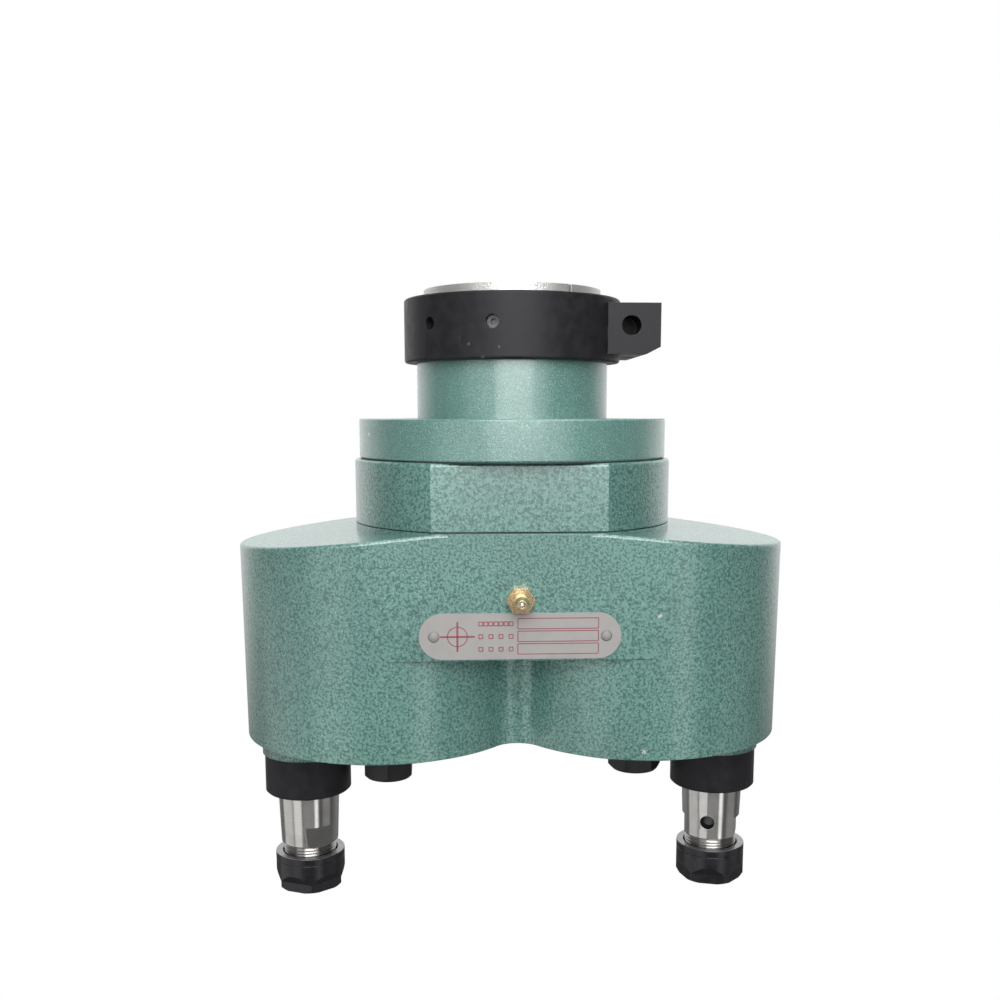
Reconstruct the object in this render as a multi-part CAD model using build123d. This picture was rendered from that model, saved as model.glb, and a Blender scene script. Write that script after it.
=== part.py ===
from build123d import *
import math
import os

# Adjustable two-spindle drilling head that clamps on the quill of a drilling machine.
# Millimetres. +Z is up along the main shaft, and the origin is the centre of the quill bore at its
# open top end. -Y is the front, with the nameplate and the grease nipple. A main gear drives an idler
# in each lobe of the gear case, and the idler drives a spindle gear. Each spindle hangs in an arm that
# swings about the idler's fixed stud, so the distance between the two drills can be set.

# Quill clamp
quill_bore_d = 65.0
quill_bore_depth = 44.0
spigot_wall = 9.5
spigot_proud = 4.3
spigot_slots = 3
spigot_slot_width = 1.4
spigot_slot_depth = 30.0
spigot_first_slot_angle = -55.0
collar_wall = 9.25
collar_height = 29.3
collar_edge_round = 1.2
lug_length = 15.0
lug_width = 60.0
lug_height = 23.0
lug_corner_cut_height = 3.3
lug_corner_cut_length = 6.5
collar_split = 3.0
collar_hole_height = 16.1
clamp_screw_d = 8.0
clamp_screw_head_d = 13.0
clamp_screw_head_height = 8.0
clamp_screw_head_room_d = 14.0
clamp_screw_hole_d = 8.9
clamp_screw_recess = 14.0
clamp_screw_inset = 6.0
grub_screw_d = 6.0
grub_screw_length = 6.0
grub_screw_angle = 12.7
plain_hole_angle = 49.0

# Neck and flange
neck_step = 3.5
neck_height = 26.0
flange_d = 146.5
flange_thickness = 18.2
flange_edge_round = 0.8
gasket_thickness = 0.5
gasket_inset = 0.9

# Screws that hold flange, bearing block and gear case together
case_screws = 6
case_screw_d = 8.0
case_screw_hole_d = 9.0
case_screw_head_d = 13.0
case_screw_head_height = 8.0
case_screw_head_room = 14.0
case_screw_neck_gap = 1.0
case_screw_first_angle = 30.0
case_screw_grip = 12.0

# Bearing block
block_d = 151.0
block_across_facets = 130.0
block_height = 29.55
block_edge_round = 1.6
register_depth = 6.0
neck_register_depth = 2.0

# Main shaft, its bearings, seal and drive socket
shaft_d = 40.0
shaft_shoulder_d = 46.0
shaft_gear_seat_d = 30.0
shaft_top_gap = 1.0
drive_socket_d = 20.0
drive_socket_depth = 30.0
drive_key_width = 6.0
drive_key_depth = 2.8
main_bearing_d = 62.0
main_bearing_width = 12.0
main_bearing_spacing = 2.5
main_bearing_lip = 4.0
locknut_d = 52.0
locknut_height = 9.0
locknut_slots = 4
locknut_slot_width = 5.0
locknut_slot_depth = 2.0
locknut_room = 1.0
shaft_seal_d = 52.0
shaft_seal_width = 7.0
seal_lip_above = 4.0
shaft_seal_skin = 1.5
shaft_seal_floor = 2.0
quill_floor_room = 2.0
gear_key_width = 8.0
gear_key_height = 7.0
gear_key_length = 12.0
retainer_d = 36.0
retainer_thickness = 4.0
retainer_screw_d = 8.0
retainer_screw_length = 18.0
retainer_head_d = 13.0
retainer_head_height = 6.0
retainer_hole_room = 0.5
screw_end_gap = 2.0

# Gears
gear_module = 2.0
pressure_angle = 20.0
main_teeth = 38
idler_teeth = 24
spindle_teeth = 16
gear_width = 16.0
tooth_thinning = 0.10
flank_steps = 3
main_web_recess = 3.5
main_web_holes = 6
main_web_hole_d = 9.0
main_web_hole_share = 0.8
main_hub_wall = 3.0
main_rim_modules = 4.0

# Gear case
case_height = 101.75
ceiling_thickness = 15.65
gear_head_room = 3.0
gear_level_gap = 4.0
gear_floor_gap = 2.5
tip_clearance = 0.55
lobe_wall = 10.45
side_draft = 0.75
pad_height = 55.55
roof_flat_half = 36.0
roof_slope = 5.8
cleft_round = 12.0
case_edge_round = 1.5
case_opening_room = 2.0
retainer_room = 2.0

# Pivot studs and idlers
stud_d = 20.0
stud_seat_depth = 12.0
stud_collar_d = 28.0
stud_thread_d = 16.0
idler_bush_wall = 3.0
pivot_washer_d = 30.0
pivot_washer_thickness = 1.3
pivot_washer_room = 0.5
pivot_nut_across_flats = 23.0
pivot_nut_height = {"left": 13.0, "right": 10.7}
pivot_nut_turn = {"left": 30.0, "right": 0.0}
nut_corner_share = 0.14
stud_shoulder_rise = 2.0
stud_end_sink = 0.8
stud_end_chamfer = 1.0

# Swing arms
turntable_lip = 1.95
turntable_lip_thickness = 2.5
turntable_floor = 9.0
turntable_rim = 7.0
hub_wall = 6.0
spindle_boss_wall = 4.0
arm_depth = 10.4
arm_width = 44.0

# Spindles and their bearings
spindle_top_bearing_bore = 17.0
spindle_top_bearing_d = 30.0
spindle_top_bearing_width = 7.0
spindle_low_bearing_bore = 20.0
spindle_low_bearing_d = 32.0
spindle_low_bearing_width = 7.0
spindle_gear_seat_d = 14.0
spindle_bore_room = 26.0
spindle_shoulder_d = 25.0
spindle_key_width = 4.0
spindle_key_height = 4.0
spindle_key_length = 11.0
key_proud_share = 0.4
spindle_gear_hub_wall = 1.5
circlip_thickness = 1.0
circlip_width = 2.2
circlip_groove = 0.7
circlip_recess = 2.5
circlip_mouth_share = 0.9
cap_d = 42.0
cap_height = 19.7
cap_register = 2.0
cap_edge_round = 0.8
cap_room = 0.6
spindle_seal_d = 37.0
spindle_seal_width = 5.0
spindle_seal_set_back = 0.3
spindle_seal_lip = 1.6
spindle_seal_skin = 1.2
nose_d = 30.0
nose_end_d = 28.0
nose_length = 27.5
nose_chamfer = 1.2
nose_thread_d = 25.0
nose_thread_shown = 7.0
nose_flat_across = 24.8
nose_flat_height = 11.0
nose_gap = 0.5
cross_hole_d = 7.0
cross_hole_rise = 9.8
tool_room_d = 13.0
tool_room_length = 15.0
tool_room_point_share = 0.3
socket_room = 2.0
nose_turn = {"left": -150.7, "right": -109.7}

# Collets and their nuts
collet_bore_d = 10.0
collet_big_d = 21.0
collet_half_angle = 8.0
collet_length = 31.5
collet_rim = 1.5
collet_front_cone = 3.5
collet_slots = 4
collet_slot_width = 0.9
collet_slot_stop = 6.0
collet_front_angle = 30.0
nut_d = 34.0
nut_height = 15.0
nut_across_flats = 29.5
nut_flat_height = 4.6
nut_arch_height = 8.8
collet_nut_turn = {"left": 7.5, "right": 14.8}
nut_mouth_lip = 1.0
nut_mouth_chamfer = 1.6
nut_top_chamfer = 0.6
nut_bottom_chamfer = 1.6

# Grease nipple and nameplate
nipple_drop = 28.5
nipple_thread_d = 10.0
nipple_thread_length = 8.0
nipple_hex_across = 11.0
nipple_hex_thickness = 4.5
nipple_neck_d = 6.0
nipple_waist_d = 4.4
nipple_mouth_wall = 0.5
nipple_head_d = 6.6
nipple_head_length = 9.0
nipple_ball_d = 3.0
grease_way_d = 4.0
plate_width = 88.0
plate_height = 20.3
plate_thickness = 0.8
plate_above_ledge = 0.9
rivet_spacing = 75.0
rivet_d = 3.0
rivet_head_d = 5.0
rivet_head_height = 0.9
rivet_length = 6.0
rivet_end_gap = 0.5
rivet_crown_share = 0.75

# Fits
running = 0.05
shake = 0.3
ball_row_gap = 0.2
shield_thickness = 0.7
ring_wall_share = 0.22
head_sink = 1.0
socket_corner_share = 0.24
socket_depth_share = 0.55
overshoot = 1.0

# Radii worked out from the sizes above
quill_r = quill_bore_d / 2
spigot_r = quill_r + spigot_wall
collar_in_r = spigot_r + running
collar_r = collar_in_r + collar_wall
lug_reach = collar_r + lug_length
neck_r = spigot_r + neck_step
flange_r = flange_d / 2
block_r = block_d / 2
case_screw_circle_r = neck_r + case_screw_head_room / 2 + case_screw_neck_gap
shaft_r = shaft_d / 2
main_bearing_r = main_bearing_d / 2
nut_room_r = locknut_d / 2 + locknut_room
main_pitch_r = gear_module * main_teeth / 2
idler_pitch_r = gear_module * idler_teeth / 2
spindle_pitch_r = gear_module * spindle_teeth / 2
main_tip_r = main_pitch_r + gear_module
spindle_tip_r = spindle_pitch_r + gear_module
lobe_x = main_pitch_r + idler_pitch_r
orbit_r = idler_pitch_r + spindle_pitch_r
lobe_bore_r = orbit_r + spindle_tip_r + tip_clearance
lobe_r = lobe_bore_r + lobe_wall
case_opening_r = main_tip_r + case_opening_room
turntable_r = lobe_bore_r - running
turntable_lip_r = lobe_bore_r + turntable_lip
stud_r = stud_d / 2
hub_bore_r = stud_r + running
cap_r = cap_d / 2
nose_r = nose_d / 2

# Heights worked out from the sizes above
z_collar_top = -spigot_proud
z_collar_bottom = z_collar_top - collar_height
z_collar_hole = z_collar_bottom + collar_hole_height
z_lug_middle = (z_collar_top + z_collar_bottom) / 2
z_flange_top = z_collar_bottom - neck_height
z_flange_bottom = z_flange_top - flange_thickness
z_block_top = z_flange_bottom - gasket_thickness
z_block_bottom = z_block_top - block_height
z_case_top = z_block_bottom - gasket_thickness
z_case_bottom = z_case_top - case_height
z_ledge = z_case_top - pad_height
z_ceiling = z_case_top - ceiling_thickness
z_main_bearing_top = z_block_top - neck_register_depth
z_case_screw_seat = z_flange_top - case_screw_head_height - head_sink
z_spacer_top = z_main_bearing_top - main_bearing_width
z_lower_bearing_top = z_spacer_top - main_bearing_spacing
z_lower_bearing_bottom = z_lower_bearing_top - main_bearing_width
z_block_register = z_block_bottom - register_depth
z_quill_floor = -quill_bore_depth
z_shaft_top = z_quill_floor - shaft_top_gap
z_seal_top = z_quill_floor - seal_lip_above
z_seal_bottom = z_seal_top - shaft_seal_width
z_main_gear_top = z_ceiling - gear_head_room
z_main_gear_bottom = z_main_gear_top - gear_width
z_spindle_gear_top = z_main_gear_bottom - gear_level_gap
z_spindle_gear_bottom = z_spindle_gear_top - gear_width
z_turntable_top = z_spindle_gear_bottom - gear_floor_gap
z_idler_bottom = z_spindle_gear_bottom
z_lip_bottom = z_case_bottom - turntable_lip_thickness
z_arm_bottom = z_lip_bottom - arm_depth
z_washer_bottom = z_arm_bottom - pivot_washer_thickness
z_cap_bottom = z_arm_bottom - cap_height
z_low_bearing_bottom = z_arm_bottom + cap_register
z_low_bearing_top = z_low_bearing_bottom + 2 * spindle_low_bearing_width
z_top_bearing_bottom = z_turntable_top - spindle_top_bearing_width
z_circlip_seat = z_spindle_gear_top - circlip_recess
z_nose_end = z_cap_bottom - nose_length
z_nut_top = z_nose_end - nose_thread_shown
z_nut_bottom = z_nut_top - nut_height
z_collet_front = z_nut_bottom + nut_mouth_lip
z_collet_rim = z_collet_front + collet_front_cone
z_collet_cone = z_collet_rim + collet_rim
z_collet_back = z_collet_front + collet_length
z_nipple = z_case_top - nipple_drop
z_plate = z_ledge + plate_above_ledge + plate_height / 2


# Solids that repeat

def disc(radius, top, bottom, x=0.0, y=0.0):
    """Upright cylinder between two heights."""
    return Pos(x, y, bottom) * extrude(Circle(radius), top - bottom)


def tube(outer_r, inner_r, top, bottom, x=0.0, y=0.0):
    """Upright ring between two heights."""
    return Pos(x, y, bottom) * extrude(Circle(outer_r) - Circle(inner_r), top - bottom)


def group(shapes):
    """Separate solids kept together in one node."""
    return Compound([solid for shape in shapes for solid in shape.solids()])


def turned(points):
    """Solid turned about Z from a closed (radius, height) outline."""
    return revolve(Plane.XZ * make_face(Polyline(*points, close=True)), Axis.Z)


def around(shape, count, first_angle, radius):
    """Copies of a shape placed on a circle about Z."""
    turns = [first_angle + 360.0 * i / count for i in range(count)]
    return [Rot(0, 0, turn) * Pos(radius, 0, 0) * shape for turn in turns]


def cap_screw(shank_d, head_d, head_height, length):
    """Socket head screw, head up, with the underside of its head at the origin."""
    socket_depth = socket_depth_share * head_height
    head = Circle(head_d / 2)
    socket = RegularPolygon(socket_corner_share * head_d, 6)
    blank = extrude(head, head_height - socket_depth)
    blank += Pos(0, 0, head_height - socket_depth) * extrude(head - socket, socket_depth)
    return blank + Pos(0, 0, -length) * extrude(Circle(shank_d / 2), length)


def bearing(bore, outer_d, width, top):
    """Shielded ball bearing as its outer ring, its inner ring and its ball row with cage."""
    wall = ring_wall_share * (outer_d - bore) / 2
    in_r = bore / 2 + wall
    out_r = outer_d / 2 - wall
    bottom = top - width
    shield = tube(out_r, in_r + ball_row_gap, top, top - shield_thickness)
    shield += tube(out_r, in_r + ball_row_gap, bottom + shield_thickness, bottom)
    outer_ring = tube(outer_d / 2, out_r, top, bottom) + shield
    inner_ring = tube(in_r, bore / 2, top, bottom)
    room = shield_thickness + ball_row_gap
    row = tube(out_r - ball_row_gap, in_r + ball_row_gap, top - room, bottom + room)
    return outer_ring, inner_ring, row


def involute(angle):
    return math.tan(angle) - angle


def gear_outline(teeth, phase):
    """Tooth ring outline: involute flanks in short chords, with one tooth centred on phase degrees."""
    pitch_r = gear_module * teeth / 2
    base_r = pitch_r * math.cos(math.radians(pressure_angle))
    root_r = pitch_r - 1.25 * gear_module
    tip_r = pitch_r + gear_module
    start_r = max(base_r, root_r)
    half_at_pitch = math.pi / (2 * teeth) - tooth_thinning / (2 * pitch_r)
    half_at_base = half_at_pitch + involute(math.radians(pressure_angle))
    radii = [start_r + (tip_r - start_r) * i / flank_steps for i in range(flank_steps + 1)]
    halves = [half_at_base - involute(math.acos(base_r / r)) for r in radii]
    flank = [(root_r, halves[0])] * (root_r < base_r) + list(zip(radii, halves))
    points = []
    for tooth in range(teeth):
        middle = math.radians(phase) + 2 * math.pi * tooth / teeth
        rising = [(r, middle - half) for r, half in flank]
        falling = [(r, middle + half) for r, half in reversed(flank)]
        points += [(r * math.cos(a), r * math.sin(a)) for r, a in rising + falling]
    return make_face(Polyline(*points, close=True))


def gear(teeth, phase, bore_r, top, bottom):
    """Spur gear blank with a plain bore."""
    return Pos(0, 0, bottom) * extrude(gear_outline(teeth, phase) - Circle(bore_r), top - bottom)


def mesh_phase(driver_teeth, driver_phase, driven_teeth):
    """Phase of a gear that sits on the +X side of its driver and is in mesh with it."""
    return 180.0 - driver_teeth / driven_teeth * driver_phase + 180.0 / driven_teeth


def key_slot(width, reach, top, bottom):
    """Square-ended key space from the axis out to reach along +X."""
    return Pos(reach / 2, 0, (top + bottom) / 2) * Box(reach, width, top - bottom)


# Quill clamp

def clamp_collar():
    ring = tube(collar_r, collar_in_r, z_collar_top, z_collar_bottom)
    rims = ring.edges().filter_by(GeomType.CIRCLE).group_by(lambda e: round(e.radius, 3))[-1]
    ring = fillet(rims, collar_edge_round)
    half_height = lug_height / 2
    outline = Polyline(
        (spigot_r, half_height),
        (lug_reach, half_height),
        (lug_reach, lug_corner_cut_height - half_height),
        (lug_reach - lug_corner_cut_length, -half_height),
        (spigot_r, -half_height),
        close=True,
    )
    lug = Pos(0, 0, z_lug_middle) * extrude(Plane.XZ * make_face(outline), lug_width / 2, both=True)
    inner_edges = Pos(0, 0, z_collar_bottom) * extrude(Circle(collar_in_r), collar_height)
    collar = ring + (lug - inner_edges)
    collar -= Pos(lug_reach / 2, 0, z_lug_middle) * Box(lug_reach, collar_split, 2 * collar_height)
    collar -= clamp_screw_space()
    for angle in grub_angles():
        collar -= radial_rod(grub_screw_d / 2, spigot_r - overshoot, collar_r + overshoot, angle)
    plain_r = grub_screw_d / 2 - running
    collar -= radial_rod(plain_r, spigot_r - overshoot, collar_r + overshoot, -90.0 - plain_hole_angle)
    return collar


def clamp_screw_x():
    return (collar_r + lug_reach) / 2 - clamp_screw_inset


def rod_along_y(radius, front, back):
    """Cylinder along Y at the clamp screw's place."""
    rod = Plane.XZ * Circle(radius)
    return Pos(clamp_screw_x(), back, z_collar_hole) * extrude(rod, back - front)


def clamp_screw_space():
    front = -lug_width / 2
    back = lug_width / 2
    head_seat = back - clamp_screw_head_height - head_sink
    space = rod_along_y(clamp_screw_d / 2, front - overshoot, back + overshoot)
    space += rod_along_y(clamp_screw_hole_d / 2, front - overshoot, front + clamp_screw_recess)
    space += rod_along_y(clamp_screw_hole_d / 2, collar_split / 2, back + overshoot)
    space += rod_along_y(clamp_screw_head_room_d / 2, head_seat, back + overshoot)
    return space


def clamp_screw():
    back = lug_width / 2 - clamp_screw_head_height - head_sink
    length = back + lug_width / 2 - clamp_screw_recess
    screw = cap_screw(clamp_screw_d, clamp_screw_head_d, clamp_screw_head_height, length)
    return Pos(clamp_screw_x(), back, z_collar_hole) * Rot(-90, 0, 0) * screw


def grub_angles():
    """The front grub screw and the one opposite it."""
    return [-90.0 - grub_screw_angle, 90.0 - grub_screw_angle]


def radial_rod(radius, inner, outer, angle):
    """Level cylinder pointing out from the main axis at the height of the collar's holes."""
    rod = Plane.YZ * Circle(radius)
    return Rot(0, 0, angle) * Pos(inner, 0, z_collar_hole) * extrude(rod, outer - inner)


def grub_screws():
    screws = []
    outer = spigot_r + grub_screw_length
    for angle in grub_angles():
        screw = radial_rod(grub_screw_d / 2, spigot_r, outer, angle)
        socket = Plane.YZ * RegularPolygon(grub_screw_d / 4, 6)
        depth = grub_screw_length / 3
        screw -= Rot(0, 0, angle) * Pos(outer - depth, 0, z_collar_hole) * extrude(socket, depth)
        screws.append(screw)
    return group(screws)


# Neck, gaskets and bearing block

def neck():
    body = turned([
        (quill_r, 0.0),
        (spigot_r, 0.0),
        (spigot_r, z_collar_bottom),
        (neck_r, z_collar_bottom),
        (neck_r, z_flange_top),
        (flange_r, z_flange_top),
        (flange_r, z_flange_bottom),
        (main_bearing_r - running, z_flange_bottom),
        (main_bearing_r - running, z_main_bearing_top),
        (nut_room_r, z_main_bearing_top),
        (nut_room_r, z_seal_bottom),
        (shaft_seal_d / 2, z_seal_bottom),
        (shaft_seal_d / 2, z_seal_top),
        (shaft_r + quill_floor_room, z_seal_top),
        (shaft_r + quill_floor_room, z_quill_floor),
        (quill_r, z_quill_floor),
    ])
    rims = body.edges().filter_by(GeomType.CIRCLE).filter_by(lambda e: abs(e.radius - flange_r) < 0.01)
    body = fillet(rims, flange_edge_round)
    slot = Pos(spigot_wall / 2, 0, -spigot_slot_depth / 2)
    slot *= Box(2 * spigot_wall, spigot_slot_width, spigot_slot_depth)
    for cut in around(slot, spigot_slots, spigot_first_slot_angle, quill_r):
        body -= cut
    hole = disc(case_screw_head_room / 2, z_flange_top + overshoot, z_case_screw_seat)
    hole += disc(case_screw_hole_d / 2, z_case_screw_seat, z_flange_bottom - overshoot)
    for cut in around(hole, case_screws, case_screw_first_angle, case_screw_circle_r):
        body -= cut
    return body


def facetted(radius, top, bottom):
    """Round block with a flat facet on its front and on its back."""
    return disc(radius, top, bottom) & Pos(0, 0, (top + bottom) / 2) * Box(
        3 * radius, block_across_facets - 2 * (block_r - radius), top - bottom
    )


def with_screw_holes(shape, top, bottom):
    hole = disc(case_screw_hole_d / 2, top + overshoot, bottom - overshoot)
    for cut in around(hole, case_screws, case_screw_first_angle, case_screw_circle_r):
        shape -= cut
    return shape


def flange_gasket():
    sheet = tube(flange_r - gasket_inset, main_bearing_r, z_flange_bottom, z_block_top)
    return with_screw_holes(sheet, z_flange_bottom, z_block_top)


def block_gasket():
    sheet = facetted(block_r - gasket_inset, z_block_bottom, z_case_top)
    sheet -= disc(case_opening_r, z_block_bottom + overshoot, z_case_top - overshoot)
    return with_screw_holes(sheet, z_block_bottom, z_case_top)


def bearing_block():
    body = facetted(block_r, z_block_top, z_block_bottom)
    body = fillet(body.faces().sort_by(Axis.Z)[-1].edges(), block_edge_round)
    body += disc(case_opening_r - running, z_block_bottom, z_block_register)
    body -= disc(main_bearing_r, z_block_top + overshoot, z_lower_bearing_bottom)
    body -= disc(main_bearing_r - main_bearing_lip, z_lower_bearing_bottom, z_block_register - overshoot)
    return with_screw_holes(body, z_block_top, z_block_bottom)


def case_screw_set():
    length = z_case_screw_seat - (z_case_top - case_screw_grip)
    screw = cap_screw(case_screw_d, case_screw_head_d, case_screw_head_height, length)
    screw = Pos(0, 0, z_case_screw_seat) * screw
    return group(around(screw, case_screws, case_screw_first_angle, case_screw_circle_r))


# Main shaft and its bearings

def main_bearings():
    upper = bearing(shaft_d, main_bearing_d, main_bearing_width, z_main_bearing_top)
    lower = bearing(shaft_d, main_bearing_d, main_bearing_width, z_lower_bearing_top)
    return [group(pair) for pair in zip(upper, lower)]


def main_bearing_spacer():
    wall = ring_wall_share * (main_bearing_d - shaft_d) / 2
    return tube(main_bearing_r, main_bearing_r - wall, z_spacer_top, z_lower_bearing_top)


def main_shaft():
    thread_end = z_main_gear_bottom
    seat_r = shaft_gear_seat_d / 2
    body = turned([
        (drive_socket_d / 2, z_shaft_top),
        (shaft_r, z_shaft_top),
        (shaft_r, z_lower_bearing_bottom),
        (shaft_shoulder_d / 2, z_lower_bearing_bottom),
        (shaft_shoulder_d / 2, z_main_gear_top),
        (seat_r, z_main_gear_top),
        (seat_r, thread_end),
        (retainer_screw_d / 2, thread_end),
        (retainer_screw_d / 2, thread_end + retainer_screw_length),
        (0.0, thread_end + retainer_screw_length),
        (0.0, z_shaft_top - drive_socket_depth),
        (drive_socket_d / 2, z_shaft_top - drive_socket_depth),
    ])
    socket_reach = drive_socket_d / 2 + drive_key_depth
    socket_floor = z_shaft_top - drive_socket_depth
    body -= key_slot(drive_key_width, socket_reach, z_shaft_top + overshoot, socket_floor)
    slot_depth = gear_key_height / 2
    body -= Pos(seat_r - slot_depth, 0, 0) * key_slot(gear_key_width, slot_depth + overshoot, *main_key_ends())
    return body


def main_key_ends():
    return z_main_gear_top, z_main_gear_top - gear_key_length


def main_gear_key():
    top, bottom = main_key_ends()
    inner = (shaft_gear_seat_d - gear_key_height) / 2
    return Pos(inner, 0, 0) * key_slot(gear_key_width, gear_key_height, top, bottom)


def main_gear():
    seat_r = shaft_gear_seat_d / 2
    body = gear(main_teeth, 0.0, seat_r, z_main_gear_top, z_main_gear_bottom)
    key_reach = seat_r + gear_key_height / 2
    body -= key_slot(gear_key_width, key_reach, z_main_gear_top + overshoot, z_main_gear_bottom - overshoot)
    hub_r = key_reach + main_hub_wall
    rim_r = main_pitch_r - main_rim_modules * gear_module
    recess_top = tube(rim_r, hub_r, z_main_gear_top, z_main_gear_top - main_web_recess)
    recess_bottom = tube(rim_r, hub_r, z_main_gear_bottom + main_web_recess, z_main_gear_bottom)
    body -= recess_top
    body -= recess_bottom
    hole_d = min(main_web_hole_d, main_web_hole_share * (rim_r - hub_r))
    hole = disc(hole_d / 2, z_main_gear_top, z_main_gear_bottom)
    for cut in around(hole, main_web_holes, 0.0, (rim_r + hub_r) / 2):
        body -= cut
    return body


def bearing_locknut():
    body = tube(locknut_d / 2, shaft_r, z_main_bearing_top + locknut_height, z_main_bearing_top)
    notch = Box(2 * locknut_slot_depth, locknut_slot_width, 3 * locknut_height)
    notch = Pos(0, 0, z_main_bearing_top) * notch
    for cut in around(notch, locknut_slots, 45.0, locknut_d / 2):
        body -= cut
    return body


def shaft_seal():
    lip_r = shaft_r + running
    return turned([
        (lip_r, z_seal_top - shaft_seal_floor),
        (lip_r + shaft_seal_skin, z_seal_top),
        (shaft_seal_d / 2, z_seal_top),
        (shaft_seal_d / 2, z_seal_bottom),
        (shaft_seal_d / 2 - shaft_seal_skin, z_seal_bottom),
        (shaft_seal_d / 2 - shaft_seal_skin, z_seal_top - shaft_seal_floor),
    ])


def gear_retainer():
    hole_r = retainer_screw_d / 2 + retainer_hole_room
    return tube(retainer_d / 2, hole_r, z_main_gear_bottom, z_main_gear_bottom - retainer_thickness)


def gear_retainer_screw():
    reach = retainer_thickness + retainer_screw_length - screw_end_gap
    screw = cap_screw(retainer_screw_d, retainer_head_d, retainer_head_height, reach)
    return Pos(0, 0, z_main_gear_bottom - retainer_thickness) * Rot(180, 0, 0) * screw


# Gear case

def pad_front(z):
    """Distance of the pad's drafted face from the main axis at a height."""
    return lobe_r - (z_case_top - z) * math.tan(math.radians(side_draft))


def lower_lobes():
    """Two drafted lobes side by side, with the cleft between them rounded at its bottom, front and back."""
    lobe = turned([
        (0.0, z_ledge),
        (pad_front(z_ledge), z_ledge),
        (pad_front(z_case_bottom), z_case_bottom),
        (0.0, z_case_bottom),
    ])
    body = Pos(lobe_x, 0, 0) * lobe + Pos(-lobe_x, 0, 0) * lobe
    valleys = body.edges().filter_by(lambda e: abs(e.center().X) < overshoot)
    return fillet(valleys, cleft_round)


def roofed(block, half_length):
    """Cuts the top to a flat middle that slopes down towards both ends, and rounds its rim."""
    fall = (half_length - roof_flat_half) * math.tan(math.radians(roof_slope))
    roof = make_face(Polyline(
        (-half_length, z_case_bottom),
        (half_length, z_case_bottom),
        (half_length, z_case_top - fall),
        (roof_flat_half, z_case_top),
        (-roof_flat_half, z_case_top),
        (-half_length, z_case_top - fall),
        close=True,
    ))
    block &= extrude(Plane.XZ * roof, half_length, both=True)
    rim = block.edges().filter_by(
        lambda e: e.center().Z > z_case_top - fall - overshoot
        and (e.geom_type != GeomType.LINE or abs(e.center().Y) > overshoot)
    )
    return fillet(rim, case_edge_round)


def case_body():
    pad = Pos(0, 0, z_case_top) * SlotCenterToCenter(2 * lobe_x, 2 * lobe_r)
    pad = extrude(pad, pad_height, dir=(0, 0, -1), taper=side_draft)
    block_seat = pad & disc(block_r, z_case_top, z_ledge)
    return roofed(pad, lobe_x + lobe_r + overshoot) + lower_lobes() + block_seat


def gear_case():
    body = case_body()
    for x in (-lobe_x, lobe_x):
        body -= disc(lobe_bore_r, z_ceiling, z_case_bottom - overshoot, x)
        body -= disc(stud_r, z_ceiling + stud_seat_depth, z_ceiling, x)
    body -= disc(case_opening_r, z_case_top + overshoot, z_main_gear_bottom - retainer_room)
    pocket_floor = z_main_gear_bottom - retainer_thickness - retainer_head_height - retainer_room
    body -= disc(retainer_d / 2 + retainer_room, z_main_gear_bottom, pocket_floor)
    hole = disc(case_screw_d / 2, z_case_top + overshoot, z_case_top - case_screw_grip - overshoot)
    for cut in around(hole, case_screws, case_screw_first_angle, case_screw_circle_r):
        body -= cut
    body -= Pos(0, 0, z_nipple) * rod_forward(grease_way_d / 2, case_opening_r - overshoot, lobe_r)
    body -= on_pad(0.0, z_nipple, extrude(Circle(nipple_thread_d / 2), -nipple_thread_length))
    for x in (-rivet_spacing / 2, rivet_spacing / 2):
        body -= on_pad(x, z_plate, extrude(Circle(rivet_d / 2), -rivet_length))
    return body


def rod_forward(radius, near, far):
    """Level cylinder towards the front, from one distance in front of the main axis to another."""
    return Pos(0, -near, 0) * extrude(Plane.XZ * Circle(radius), far - near)


def on_pad(x, z, shape):
    """Puts a shape made on the XY plane onto the drafted front pad."""
    tilt = Rot(90.0 + side_draft, 0, 0)
    return Pos(x, -pad_front(z), z) * tilt * shape


# Grease nipple and nameplate

def grease_nipple():
    hex_flats = extrude(RegularPolygon(nipple_hex_across / 2, 6, major_radius=False), nipple_hex_thickness)
    head_r = nipple_head_d / 2
    start = nipple_hex_thickness
    head = turned([
        (0.0, start),
        (nipple_neck_d / 2, start),
        (nipple_waist_d / 2, start + 0.35 * nipple_head_length),
        (head_r, start + 0.55 * nipple_head_length),
        (head_r, start + 0.75 * nipple_head_length),
        (nipple_ball_d / 2 + nipple_mouth_wall, start + nipple_head_length),
        (0.0, start + nipple_head_length),
    ])
    stem = Pos(0, 0, -nipple_thread_length) * extrude(Circle(nipple_thread_d / 2), nipple_thread_length)
    body = stem + hex_flats + head
    way_r = grease_way_d / 4
    body -= Pos(0, 0, -nipple_thread_length) * extrude(Circle(way_r), 2 * nipple_thread_length)
    body -= Pos(0, 0, nipple_ball_z()) * Sphere(nipple_ball_d / 2)
    return on_pad(0.0, z_nipple, body)


def nipple_ball_z():
    return nipple_hex_thickness + nipple_head_length - 0.35 * nipple_ball_d


def nipple_ball():
    return on_pad(0.0, z_nipple, Pos(0, 0, nipple_ball_z()) * Sphere(nipple_ball_d / 2))


def nameplate():
    sheet = extrude(SlotOverall(plate_width, plate_height), plate_thickness)
    for x in (-rivet_spacing / 2, rivet_spacing / 2):
        sheet -= Pos(x, 0, 0) * extrude(Circle(rivet_d / 2), plate_thickness)
    return on_pad(0.0, z_plate, sheet)


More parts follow.
